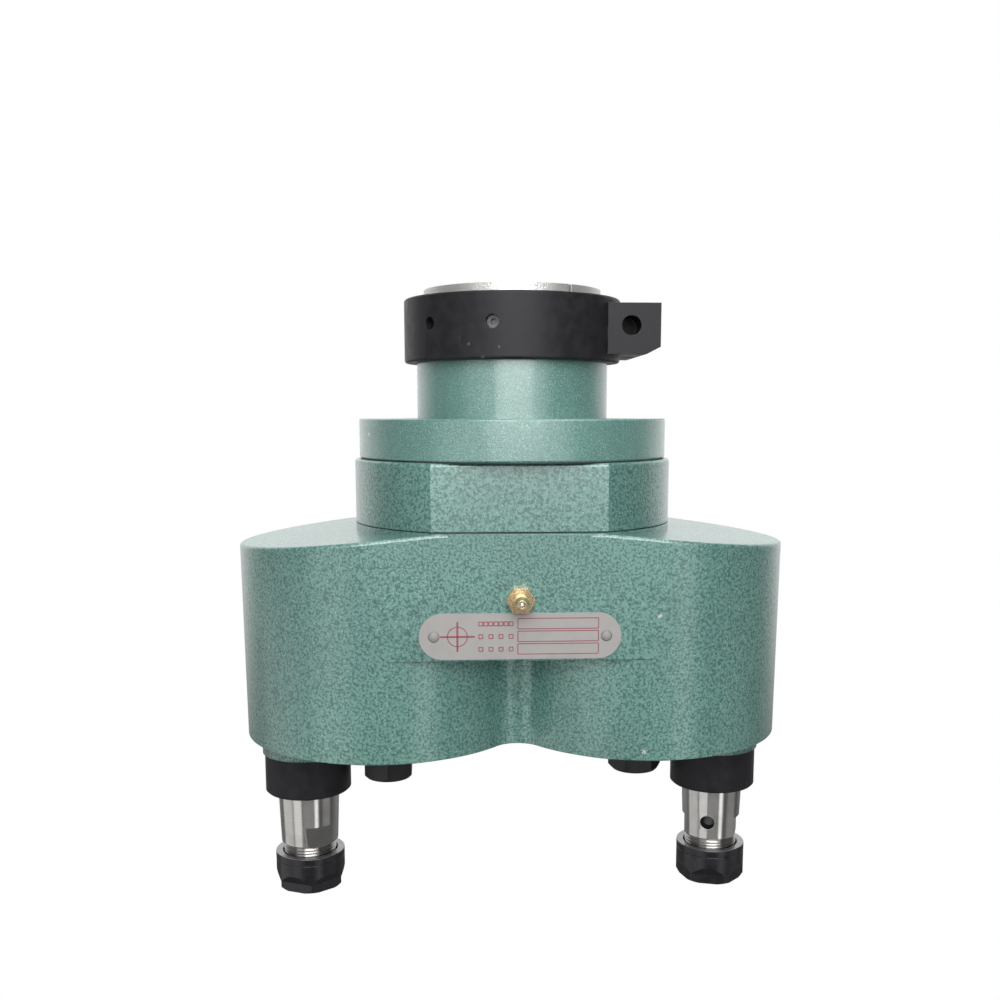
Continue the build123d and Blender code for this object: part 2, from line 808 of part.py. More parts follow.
def nameplate_rivets():
    head_r = rivet_head_d / 2
    rivet = turned([
        (0.0, rivet_end_gap - rivet_length),
        (rivet_d / 2, rivet_end_gap - rivet_length),
        (rivet_d / 2, plate_thickness),
        (head_r, plate_thickness),
        (rivet_crown_share * head_r, plate_thickness + rivet_crown_share * rivet_head_height),
        (0.0, plate_thickness + rivet_head_height),
    ])
    return group([on_pad(x, z_plate, rivet) for x in (-rivet_spacing / 2, rivet_spacing / 2)])


# Each lobe, in its own frame: the stud on Z, the arm pointing along +X

def z_pivot_nut_bottom(side):
    return z_washer_bottom - pivot_nut_height[side]


def pivot_stud(side):
    thread_end = z_pivot_nut_bottom(side) + stud_end_sink
    shoulder = z_arm_bottom + stud_shoulder_rise
    return turned([
        (0.0, z_ceiling + stud_seat_depth),
        (stud_r, z_ceiling + stud_seat_depth),
        (stud_r, z_ceiling),
        (stud_collar_d / 2, z_ceiling),
        (stud_collar_d / 2, z_main_gear_top + shake),
        (stud_r, z_main_gear_top + shake),
        (stud_r, shoulder),
        (stud_thread_d / 2, shoulder),
        (stud_thread_d / 2, thread_end + stud_end_chamfer),
        (stud_thread_d / 2 - stud_end_chamfer, thread_end),
        (0.0, thread_end),
    ])


def pivot_washer():
    return tube(pivot_washer_d / 2, stud_thread_d / 2 + pivot_washer_room, z_arm_bottom, z_washer_bottom)


def hex_nut(across, bore_r, top, bottom):
    """Hexagon nut with its lower corners turned off."""
    corner_r = across / math.sqrt(3)
    flats = Pos(0, 0, bottom) * extrude(RegularPolygon(across / 2, 6, major_radius=False), top - bottom)
    rounding = turned([
        (bore_r, top),
        (corner_r + overshoot, top),
        (corner_r + overshoot, bottom + nut_corner_share * across),
        (across / 2 - overshoot / 2, bottom),
        (bore_r, bottom),
    ])
    return flats & rounding


def pivot_nut(side):
    return Rot(0, 0, pivot_nut_turn[side]) * hex_nut(
        pivot_nut_across_flats, stud_thread_d / 2, z_washer_bottom, z_pivot_nut_bottom(side)
    )


def idler_gear(phase):
    bore_r = hub_bore_r + idler_bush_wall
    return gear(idler_teeth, phase, bore_r, z_main_gear_top, z_idler_bottom)


def idler_bush():
    return tube(hub_bore_r + idler_bush_wall, hub_bore_r, z_main_gear_top, z_idler_bottom)


def swing_arm():
    hub_r = hub_bore_r + hub_wall
    boss_r = spindle_low_bearing_d / 2 + spindle_boss_wall
    body = disc(turntable_r, z_turntable_top, z_lip_bottom)
    body += tube(turntable_lip_r, turntable_r - overshoot, z_case_bottom, z_lip_bottom)
    body += disc(hub_r, z_idler_bottom - shake, z_turntable_top)
    pocket_floor = z_case_bottom + turntable_floor
    pocket = tube(turntable_r - turntable_rim, hub_r, z_turntable_top + overshoot, pocket_floor)
    body -= pocket - disc(boss_r, z_turntable_top + overshoot, z_case_bottom, orbit_r)
    bar = Pos(orbit_r / 2, 0) * SlotCenterToCenter(orbit_r, arm_width)
    body += Pos(0, 0, z_arm_bottom) * extrude(bar, arm_depth)
    above = z_turntable_top + overshoot
    below = z_arm_bottom - overshoot
    body -= disc(hub_bore_r, z_idler_bottom + overshoot, below)
    body -= disc(spindle_bore_room / 2, above, below, orbit_r)
    body -= disc(spindle_top_bearing_d / 2, above, z_top_bearing_bottom, orbit_r)
    body -= disc(spindle_low_bearing_d / 2, z_low_bearing_top, below, orbit_r)
    return body


def spindle_bearings():
    top = bearing(
        spindle_top_bearing_bore, spindle_top_bearing_d, spindle_top_bearing_width, z_turntable_top
    )
    low = [
        bearing(
            spindle_low_bearing_bore,
            spindle_low_bearing_d,
            spindle_low_bearing_width,
            z_low_bearing_top - i * spindle_low_bearing_width,
        )
        for i in range(2)
    ]
    return [Pos(orbit_r, 0, 0) * group(rings) for rings in zip(top, *low)]


def bearing_cap():
    bore_r = nose_r + cap_room
    seal_top = z_cap_bottom + spindle_seal_width
    round_d = cap_edge_round
    return Pos(orbit_r, 0, 0) * turned([
        (bore_r, z_low_bearing_bottom),
        (spindle_low_bearing_d / 2, z_low_bearing_bottom),
        (spindle_low_bearing_d / 2, z_arm_bottom),
        (cap_r, z_arm_bottom),
        (cap_r, z_cap_bottom + round_d),
        (cap_r - round_d, z_cap_bottom),
        (spindle_seal_d / 2, z_cap_bottom),
        (spindle_seal_d / 2, seal_top),
        (bore_r, seal_top),
    ])


def spindle_seal():
    lip_r = nose_r + running
    top = z_cap_bottom + spindle_seal_width
    return Pos(orbit_r, 0, 0) * turned([
        (lip_r + spindle_seal_skin, top),
        (spindle_seal_d / 2, top),
        (spindle_seal_d / 2, z_cap_bottom + spindle_seal_set_back),
        (lip_r + spindle_seal_skin, z_cap_bottom + spindle_seal_set_back),
        (lip_r, z_cap_bottom + spindle_seal_lip),
    ])


def socket_r(z):
    """Radius of the collet's cone at a height."""
    return collet_big_d / 2 - (z - z_collet_cone) * math.tan(math.radians(collet_half_angle))


def spindle(turn):
    gear_seat_r = spindle_gear_seat_d / 2
    shoulder_top = z_low_bearing_bottom
    nose_top = z_arm_bottom - nose_gap
    socket_top = z_collet_back + socket_room
    room_top = socket_top + tool_room_length
    groove_top = z_circlip_seat + circlip_thickness
    body = turned([
        (0.0, z_spindle_gear_top - shake),
        (gear_seat_r, z_spindle_gear_top - shake),
        (gear_seat_r, groove_top),
        (gear_seat_r - circlip_groove, groove_top),
        (gear_seat_r - circlip_groove, z_circlip_seat),
        (gear_seat_r, z_circlip_seat),
        (gear_seat_r, z_turntable_top),
        (spindle_top_bearing_bore / 2, z_turntable_top),
        (spindle_top_bearing_bore / 2, z_top_bearing_bottom),
        (spindle_low_bearing_bore / 2, z_top_bearing_bottom),
        (spindle_low_bearing_bore / 2, shoulder_top),
        (spindle_shoulder_d / 2, shoulder_top),
        (spindle_shoulder_d / 2, nose_top),
        (nose_r, nose_top),
        (nose_r, z_cap_bottom - nose_gap),
        (nose_end_d / 2, z_nose_end + nose_chamfer),
        (nose_end_d / 2 - nose_chamfer, z_nose_end),
        (nose_thread_d / 2, z_nose_end),
        (nose_thread_d / 2, z_collet_cone),
        (socket_r(z_collet_cone) + running, z_collet_cone),
        (socket_r(socket_top) + running, socket_top),
        (min(tool_room_d / 2, socket_r(socket_top)), socket_top),
        (min(tool_room_d / 2, socket_r(socket_top)), room_top),
        (0.0, room_top + tool_room_point_share * tool_room_d),
    ])
    for side in (-1, 1):
        body -= Pos(0, side * (nose_flat_across + nose_d) / 2, z_nose_end) * Box(
            nose_d, nose_d, nose_flat_height, align=(Align.CENTER, Align.CENTER, Align.MIN)
        )
    body -= Pos(0, 0, z_nose_end + cross_hole_rise) * extrude(Plane.YZ * Circle(cross_hole_d / 2), nose_d)
    key_floor = spindle_key_height - spindle_key_side_above()
    key_ends = spindle_key_ends()
    body = Rot(0, 0, turn) * body
    body -= Pos(gear_seat_r - key_floor, 0, 0) * key_slot(spindle_key_width, key_floor + overshoot, *key_ends)
    return Pos(orbit_r, 0, 0) * body


def spindle_key_side_above():
    """How far the key stands out of the spindle."""
    return key_proud_share * spindle_key_height


def spindle_key_ends():
    middle = (z_circlip_seat + z_spindle_gear_bottom) / 2
    return middle + spindle_key_length / 2, middle - spindle_key_length / 2


def spindle_key():
    inner = spindle_gear_seat_d / 2 + spindle_key_side_above() - spindle_key_height
    key = key_slot(spindle_key_width, spindle_key_height, *spindle_key_ends())
    return Pos(orbit_r + inner, 0, 0) * key


def spindle_gear(phase):
    seat_r = spindle_gear_seat_d / 2
    body = gear(spindle_teeth, phase, seat_r, z_spindle_gear_top, z_spindle_gear_bottom)
    hub_r = spindle_top_bearing_bore / 2 + spindle_gear_hub_wall
    body += tube(hub_r, seat_r, z_spindle_gear_bottom, z_turntable_top)
    body -= disc(seat_r + circlip_width + shake, z_spindle_gear_top + overshoot, z_circlip_seat)
    reach = seat_r + spindle_key_side_above()
    body -= key_slot(spindle_key_width, reach, z_circlip_seat + overshoot, z_turntable_top - overshoot)
    return Pos(orbit_r, 0, 0) * body


def spindle_circlip():
    inner = spindle_gear_seat_d / 2 - circlip_groove
    ring = tube(inner + circlip_width, inner, z_circlip_seat + circlip_thickness, z_circlip_seat)
    mouth = Box(4 * inner, circlip_mouth_share * inner, 4 * circlip_thickness)
    ring -= Pos(-2 * inner, 0, z_circlip_seat) * mouth
    return Pos(orbit_r, 0, 0) * ring


def collet():
    back = z_collet_back
    mouth_r = collet_mouth_r()
    body = turned([
        (collet_bore_d / 2, back),
        (socket_r(back), back),
        (socket_r(z_collet_cone), z_collet_cone),
        (collet_big_d / 2, z_collet_rim),
        (mouth_r, z_collet_front),
        (collet_bore_d / 2, z_collet_front),
    ])
    reach = collet_big_d
    slot = Box(2 * reach, collet_slot_width, collet_length - collet_slot_stop)
    half = (collet_length - collet_slot_stop) / 2
    for i in range(collet_slots // 2):
        turn = 360.0 * i / collet_slots
        body -= Rot(0, 0, turn) * Pos(0, 0, z_collet_front + half) * slot
        body -= Rot(0, 0, turn + 180.0 / collet_slots) * Pos(0, 0, back - half) * slot
    return Pos(orbit_r, 0, 0) * body


def collet_mouth_r():
    """Radius of the collet's front face, where its front cone ends."""
    return collet_big_d / 2 - collet_front_cone * math.tan(math.radians(collet_front_angle))


def collet_nut(turn):
    """Round nut with six wrench flats at its foot, each running out in a slope that looks arched."""
    nut_r = nut_d / 2
    thread_r = nose_thread_d / 2 + running
    body = turned([
        (thread_r, z_nut_top - nut_mouth_chamfer),
        (thread_r + nut_mouth_chamfer, z_nut_top),
        (nut_r - nut_top_chamfer, z_nut_top),
        (nut_r, z_nut_top - nut_top_chamfer),
        (nut_r, z_nut_bottom + nut_bottom_chamfer),
        (nut_r - nut_bottom_chamfer, z_nut_bottom),
        (collet_mouth_r() + running, z_nut_bottom),
        (collet_mouth_r() + running, z_collet_front),
        (collet_big_d / 2 + 2 * running, z_collet_rim),
        (collet_big_d / 2 + 2 * running, z_collet_cone),
        (thread_r, z_collet_cone),
    ])
    flat_r = nut_across_flats / 2
    slope = (nut_arch_height - nut_flat_height) / (nut_r - flat_r)
    reach = nut_r + overshoot
    cut = Plane.XZ * make_face(Polyline(
        (flat_r, z_nut_bottom - overshoot),
        (flat_r, z_nut_bottom + nut_flat_height),
        (reach, z_nut_bottom + nut_flat_height + slope * (reach - flat_r)),
        (reach, z_nut_bottom - overshoot),
        close=True,
    ))
    cut = extrude(cut, nut_r, both=True)
    for i in range(6):
        body -= Rot(0, 0, turn + 60.0 * i) * cut
    return Pos(orbit_r, 0, 0) * body


def lobe_nodes(side, place, main_phase):
    """Everything that hangs in one lobe, placed in the head's frame."""
    idler_phase = mesh_phase(main_teeth, main_phase, idler_teeth)
    spindle_phase = mesh_phase(idler_teeth, idler_phase, spindle_teeth)
    outer_rings, inner_rings, ball_rows = spindle_bearings()
    made = {
        "pivot_stud": pivot_stud(side),
        "pivot_washer": pivot_washer(),
        "pivot_nut": pivot_nut(side),
        "idler_gear": idler_gear(idler_phase),
        "idler_bush": idler_bush(),
        "swing_arm": swing_arm(),
        "spindle_outer_rings": outer_rings,
        "bearing_cap": bearing_cap(),
        "spindle_seal": spindle_seal(),
        "spindle_ball_rows": ball_rows,
        "spindle": spindle(nose_turn[side]),
        "spindle_gear": spindle_gear(spindle_phase),
        "spindle_key": spindle_key(),
        "spindle_circlip": spindle_circlip(),
        "spindle_inner_rings": inner_rings,
        "collet": collet(),
        "collet_nut": collet_nut(collet_nut_turn[side]),
    }
    return {f"{side}_{name}": place * shape for name, shape in made.items()}


def head_nodes():
    """Every node of the head by name."""
    outer_rings, inner_rings, ball_rows = main_bearings()
    nodes = {
        "clamp_collar": clamp_collar(),
        "clamp_screw": clamp_screw(),
        "collar_grub_screws": grub_screws(),
        "neck": neck(),
        "flange_gasket": flange_gasket(),
        "bearing_block": bearing_block(),
        "block_gasket": block_gasket(),
        "case_screws": case_screw_set(),
        "gear_case": gear_case(),
        "main_outer_rings": outer_rings,
        "main_bearing_spacer": main_bearing_spacer(),
        "shaft_seal": shaft_seal(),
        "grease_nipple": grease_nipple(),
        "nipple_ball": nipple_ball(),
        "nameplate": nameplate(),
        "nameplate_rivets": nameplate_rivets(),
        "main_ball_rows": ball_rows,
        "main_shaft": main_shaft(),
        "main_inner_rings": inner_rings,
        "bearing_locknut": bearing_locknut(),
        "main_gear": main_gear(),
        "main_gear_key": main_gear_key(),
        "gear_retainer": gear_retainer(),
        "gear_retainer_screw": gear_retainer_screw(),
    }
    nodes.update(lobe_nodes("right", Pos(lobe_x, 0, 0), 0.0))
    nodes.update(lobe_nodes("left", Pos(-lobe_x, 0, 0) * Rot(0, 0, 180), 180.0))
    return nodes


os.makedirs("parts", exist_ok=True)
for node_name, node_shape in head_nodes().items():
    export_step(node_shape, f"parts/{node_name}.step")
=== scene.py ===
"""Looks for an adjustable two-spindle drilling head that clamps on the quill of a drilling machine.

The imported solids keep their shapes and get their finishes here: hammered green paint, blackened steel,
turned and ground steel, brass, bronze, rubber and paper. New pieces are surfaces worked out with numpy:
the threads on the spindle noses, the rims of the collet nuts and the blank print on the nameplate.
Lengths are in metres.
"""

import logging
import math
from dataclasses import dataclass
from enum import Enum

import bpy
import numpy as np
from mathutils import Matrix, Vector

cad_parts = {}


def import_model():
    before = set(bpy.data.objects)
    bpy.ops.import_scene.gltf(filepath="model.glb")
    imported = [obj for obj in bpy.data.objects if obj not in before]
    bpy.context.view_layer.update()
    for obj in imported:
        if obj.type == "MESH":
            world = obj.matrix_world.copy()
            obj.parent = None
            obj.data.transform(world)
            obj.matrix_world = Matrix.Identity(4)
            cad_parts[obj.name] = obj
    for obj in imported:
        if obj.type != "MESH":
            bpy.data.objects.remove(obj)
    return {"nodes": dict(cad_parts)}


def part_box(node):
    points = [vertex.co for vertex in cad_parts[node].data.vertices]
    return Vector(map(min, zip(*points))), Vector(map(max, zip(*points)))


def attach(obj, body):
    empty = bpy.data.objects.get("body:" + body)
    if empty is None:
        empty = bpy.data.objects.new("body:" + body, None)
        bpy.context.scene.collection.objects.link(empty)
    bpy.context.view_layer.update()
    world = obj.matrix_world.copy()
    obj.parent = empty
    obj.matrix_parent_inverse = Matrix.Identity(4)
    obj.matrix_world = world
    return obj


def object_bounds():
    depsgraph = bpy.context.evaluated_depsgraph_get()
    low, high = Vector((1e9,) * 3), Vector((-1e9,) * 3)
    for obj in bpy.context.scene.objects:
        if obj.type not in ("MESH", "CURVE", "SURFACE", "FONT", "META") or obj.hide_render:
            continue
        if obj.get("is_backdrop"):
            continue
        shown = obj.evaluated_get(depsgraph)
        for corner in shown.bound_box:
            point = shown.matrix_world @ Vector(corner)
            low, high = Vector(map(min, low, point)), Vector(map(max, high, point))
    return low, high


LOG = logging.getLogger("drilling_head")
MM = 0.001
Colour = tuple[float, float, float]

# A number, or the socket of the node that works it out.
Value = bpy.types.NodeSocket | float

# The ragged outline of a worn spot: the size of its noise, and the noise's gain and offset.
RAGGED_SIZE = 0.6 * MM
RAGGED_GAIN = 2.4
RAGGED_OFFSET = -0.7

# Places of a Mix node's sockets for numbers and for colours, which share their names.
MIX_NUMBERS = (2, 3)
MIX_COLOURS = (6, 7)
MIX_RESULT = 2


class Side(Enum):
    """The two lobes, each with its own swing arm and spindle."""

    LEFT = "left"
    RIGHT = "right"


class Grain(Enum):
    """How a tool left its marks on bare metal."""

    TURNED = "turned"
    CAST = "cast"


class Sheet:
    """A material's node tree, with one short call for each kind of node that the finishes share."""

    def __init__(self, name: str) -> None:
        """Starts a material with a Principled shader and object coordinates.

        Args:
            name: The material's name.
        """
        self.material = bpy.data.materials.new(name)
        self.material.use_nodes = True
        self.tree = self.material.node_tree
        self.tree.nodes.clear()
        self.shader = self.tree.nodes.new("ShaderNodeBsdfPrincipled")
        output = self.tree.nodes.new("ShaderNodeOutputMaterial")
        self.tree.links.new(self.shader.outputs[0], output.inputs["Surface"])
        self.place = self.tree.nodes.new("ShaderNodeTexCoord").outputs["Object"]
        split = self.tree.nodes.new("ShaderNodeSeparateXYZ")
        self.tree.links.new(self.place, split.inputs[0])
        self.x, self.y, self.z = split.outputs

    def feed(self, socket: bpy.types.NodeSocket, value: object) -> None:
        """Links a socket to another node's output, or sets it to a plain value.

        Args:
            socket: The input to fill.
            value: An output socket, a number or a colour.
        """
        if isinstance(value, bpy.types.NodeSocket):
            self.tree.links.new(value, socket)
        elif isinstance(value, tuple) and len(value) == 3 and len(socket.default_value) == 4:
            socket.default_value = (*value, 1.0)
        else:
            socket.default_value = value

    def set(self, **values: object) -> None:
        """Fills the Principled shader's inputs, with underscores for the spaces in their names."""
        for name, value in values.items():
            self.feed(self.shader.inputs[name.replace("_", " ")], value)

    def calc(self, operation: str, *values: Value) -> bpy.types.NodeSocket:
        """One Math node.

        Args:
            operation: The node's operation, such as MULTIPLY.
            values: Up to three numbers or sockets.

        Returns:
            The result's socket.
        """
        node = self.tree.nodes.new("ShaderNodeMath")
        node.operation = operation
        for socket, value in zip(node.inputs, values):
            self.feed(socket, value)
        return node.outputs[0]

    def spread(self, value: Value, low: float, high: float) -> bpy.types.NodeSocket:
        """Turns low..high into a smooth 0..1.

        Args:
            value: What to read.
            low: The value that gives 0.
            high: The value that gives 1.

        Returns:
            The result's socket.
        """
        node = self.tree.nodes.new("ShaderNodeMapRange")
        node.interpolation_type = "SMOOTHSTEP"
        for name, fill in (("Value", value), ("From Min", low), ("From Max", high)):
            self.feed(node.inputs[name], fill)
        return node.outputs[0]

    def stretched(self, x: float, y: float, z: float) -> bpy.types.NodeSocket:
        """Object coordinates multiplied along each axis.

        Args:
            x: Factor along X, so a noise of size 1 has blotches of one over it in metres.
            y: Factor along Y.
            z: Factor along Z.

        Returns:
            The new coordinates' socket.
        """
        node = self.tree.nodes.new("ShaderNodeMapping")
        self.feed(node.inputs["Vector"], self.place)
        node.inputs["Scale"].default_value = (x, y, z)
        return node.outputs[0]

    def noise(
        self, size: float, detail: float = 2.0, vector: bpy.types.NodeSocket | None = None
    ) -> bpy.types.NodeSocket:
        """Smooth noise.

        Args:
            size: Size of one blotch, in the units of the vector.
            detail: Octaves.
            vector: Coordinates, or None for object coordinates.

        Returns:
            The noise value's socket, about 0 to 1.
        """
        node = self.tree.nodes.new("ShaderNodeTexNoise")
        self.feed(node.inputs["Vector"], vector or self.place)
        node.inputs["Scale"].default_value = 1.0 / size
        node.inputs["Detail"].default_value = detail
        return node.outputs[0]

    def blend(
        self, factor: Value, low: Colour | bpy.types.NodeSocket, high: Colour | bpy.types.NodeSocket
    ) -> bpy.types.NodeSocket:
        """Mixes two colours.

        Args:
            factor: 0 gives low, 1 gives high.
            low: A colour or a socket.
            high: A colour or a socket.

        Returns:
            The mixed colour's socket.
        """
        node = self.tree.nodes.new("ShaderNodeMix")
        node.data_type = "RGBA"
        self.feed(node.inputs["Factor"], factor)
        for place, colour in zip(MIX_COLOURS, (low, high)):
            self.feed(node.inputs[place], colour)
        return node.outputs[MIX_RESULT]

    def level(self, factor: Value, low: float, high: float) -> bpy.types.NodeSocket:
        """Mixes two numbers: low where the factor is 0 and high where it is 1."""
        return self.calc("MULTIPLY_ADD", factor, high - low, low)

    def edge(self, radius: float) -> bpy.types.NodeSocket:
        """A mask of the sharp edges: how far the rounded normal leans from the true one.

        It is one minus the dot product of the two normals, spread from 0.02..0.25 to 0..1.

        Args:
            radius: How far from an edge its mask reaches.

        Returns:
            A socket that is 1 on sharp edges.
        """
        bevel = self.tree.nodes.new("ShaderNodeBevel")
        bevel.samples = 4
        bevel.inputs["Radius"].default_value = radius
        dot = self.tree.nodes.new("ShaderNodeVectorMath")
        dot.operation = "DOT_PRODUCT"
        self.tree.links.new(bevel.outputs[0], dot.inputs[0])
        normal = self.tree.nodes.new("ShaderNodeNewGeometry").outputs["Normal"]
        self.tree.links.new(normal, dot.inputs[1])
        return self.spread(self.calc("SUBTRACT", 1.0, dot.outputs["Value"]), 0.02, 0.25)

    def lengthwise(self, anisotropy: float) -> None:
        """Stretches highlights along Z, as fine rings cut round an upright axis do.

        The tangent leans a hair off Z, so that level faces have one too.

        Args:
            anisotropy: 0 for none, 1 for the most.
        """
        along = self.tree.nodes.new("ShaderNodeCombineXYZ")
        along.inputs["X"].default_value = 0.001
        along.inputs["Z"].default_value = 1.0
        self.set(Anisotropic=anisotropy, Tangent=along.outputs[0])

    def bump(self, height: Value, depth: float, edge_radius: float) -> None:
        """Raises the surface by height times depth, over edges rounded to a small radius.

        Args:
            height: Socket from 0 to 1.
            depth: Depth in metres.
            edge_radius: Radius to which sharp edges look broken.
        """
        bevel = self.tree.nodes.new("ShaderNodeBevel")
        bevel.samples = 6
        bevel.inputs["Radius"].default_value = edge_radius
        node = self.tree.nodes.new("ShaderNodeBump")
        node.inputs["Strength"].default_value = 1.0
        node.inputs["Distance"].default_value = depth
        self.feed(node.inputs["Height"], height)
        self.feed(node.inputs["Normal"], bevel.outputs[0])
        self.feed(self.shader.inputs["Normal"], node.outputs[0])


@dataclass(frozen=True)
class Finish:
    """What every finish has: a name and a way to paint a sheet."""

    name: str

    def paint(self, sheet: Sheet) -> None:
        """Fills the sheet's shader; each finish has its own."""
        raise NotImplementedError

    def material(self) -> bpy.types.Material:
        """Paints a new sheet.

        Returns:
            The finish as a new material.
        """
        sheet = Sheet(self.name)
        self.paint(sheet)
        return sheet.material


@dataclass(frozen=True)
class Chip:
    """A place where the paint is knocked off: its centre and its reach."""

    centre: tuple[float, float, float]
    reach: float


def worn_spots(sheet: Sheet, chips: tuple[Chip, ...]) -> Value:
    """Mask of worn spots: inside a ragged ball round each centre.

    A point is inside where its distance over the reach plus the ragged noise is under 1.

    Args:
        sheet: The sheet in work.
        chips: The spots.

    Returns:
        A socket that is 1 on the spots, or 0 where there is none.
    """
    if not chips:
        return 0.0
    mask: Value = 0.0
    ragged = sheet.calc("MULTIPLY_ADD", sheet.noise(RAGGED_SIZE, 3.0), RAGGED_GAIN, RAGGED_OFFSET)
    for chip in chips:
        apart = sheet.tree.nodes.new("ShaderNodeVectorMath")
        apart.operation = "DISTANCE"
        sheet.feed(apart.inputs[0], sheet.place)
        apart.inputs[1].default_value = chip.centre
        share = sheet.calc("DIVIDE", apart.outputs["Value"], chip.reach)
        inside = sheet.calc("LESS_THAN", sheet.calc("ADD", share, ragged), 1.0)
        mask = sheet.calc("MAXIMUM", mask, inside)
    return mask


@dataclass(frozen=True)
class HammeredPaint(Finish):
    """Green hammered enamel: dark worms and pale glints in a body colour, under a clear coat.

    The worms and glints are noise of the fleck's size, cut to narrow ranges, and the body drifts
    between two greens over a wider one. Flake is how metallic the body is, which brightens what faces
    the light. Bare steel shows inside bare_radius above bare_bottom, where the quill clamp grips,
    inside bore_radius, and as pale chips.
    """

    fleck: float = 1.15 * MM
    worm_range: tuple[float, float] = (0.36, 0.60)
    worm_share: float = 0.88
    glint_size_share: float = 0.55
    glint_range: tuple[float, float] = (0.58, 0.72)
    glint_share: float = 0.34
    drift_size: float = 40.0 * MM
    drift_range: tuple[float, float] = (0.35, 0.65)
    flake: float = 0.13
    enamel_roughness: float = 0.42
    bare_metallic: float = 0.7
    bare_roughness: float = 0.36
    coat: float = 0.8
    coat_roughness: float = 0.26
    coat_ior: float = 1.7
    hammer_depth: float = 0.06 * MM
    edge_radius: float = 0.5 * MM
    ring_stretch: tuple[float, float, float] = (60.0, 60.0, 2500.0)
    dark: Colour = (0.022, 0.086, 0.074)
    body: Colour = (0.096, 0.212, 0.186)
    drifted: Colour = (0.107, 0.243, 0.203)
    glint: Colour = (0.40, 0.58, 0.52)
    bare: Colour = (0.60, 0.59, 0.57)
    bare_dull: Colour = (0.46, 0.45, 0.435)
    bare_radius: float = 0.0
    bare_bottom: float = 0.0
    bore_radius: float = 0.0
    chips: tuple[Chip, ...] = ()

    def stripped(self, sheet: Sheet) -> Value:
        """Mask of the machined steel under the clamp and in the bore, from radius and height.

        Args:
            sheet: The sheet in work.

        Returns:
            A socket that is 1 on bare steel, or 0 where there is none.
        """
        if not self.bare_radius:
            return 0.0
        square = sheet.calc("MULTIPLY_ADD", sheet.x, sheet.x, sheet.calc("MULTIPLY", sheet.y, sheet.y))
        radius = sheet.calc("SQRT", square)
        near = sheet.calc("LESS_THAN", radius, self.bare_radius)
        spigot = sheet.calc("MULTIPLY", near, sheet.calc("GREATER_THAN", sheet.z, self.bare_bottom))
        return sheet.calc("MAXIMUM", spigot, sheet.calc("LESS_THAN", radius, self.bore_radius))

    def paint(self, sheet: Sheet) -> None:
        """Mixes the enamel, its flecks, the chips and the bare steel.

        Args:
            sheet: The sheet in work.
        """
        clear = sheet.spread(sheet.noise(self.fleck, 2.0), *self.worm_range)
        worms = sheet.calc("MULTIPLY", sheet.calc("SUBTRACT", 1.0, clear), self.worm_share)
        glints = sheet.spread(sheet.noise(self.glint_size_share * self.fleck, 1.0), *self.glint_range)
        drift = sheet.spread(sheet.noise(self.drift_size, 2.0), *self.drift_range)
        enamel = sheet.blend(worms, sheet.blend(drift, self.body, self.drifted), self.dark)
        enamel = sheet.blend(sheet.calc("MULTIPLY", glints, self.glint_share), enamel, self.glint)
        bare = sheet.calc("MAXIMUM", self.stripped(sheet), worn_spots(sheet, self.chips))
        rings = sheet.noise(1.0, 3.0, sheet.stretched(*self.ring_stretch))
        steel = sheet.blend(rings, self.bare_dull, self.bare)
        sheet.set(
            Base_Color=sheet.blend(bare, enamel, steel),
            Metallic=sheet.level(bare, self.flake, self.bare_metallic),
            Roughness=sheet.level(bare, self.enamel_roughness, self.bare_roughness),
            Coat_Weight=sheet.level(bare, self.coat, 0.0),
            Coat_Roughness=self.coat_roughness,
            Coat_IOR=self.coat_ior,
        )
        sheet.bump(clear, self.hammer_depth, self.edge_radius)


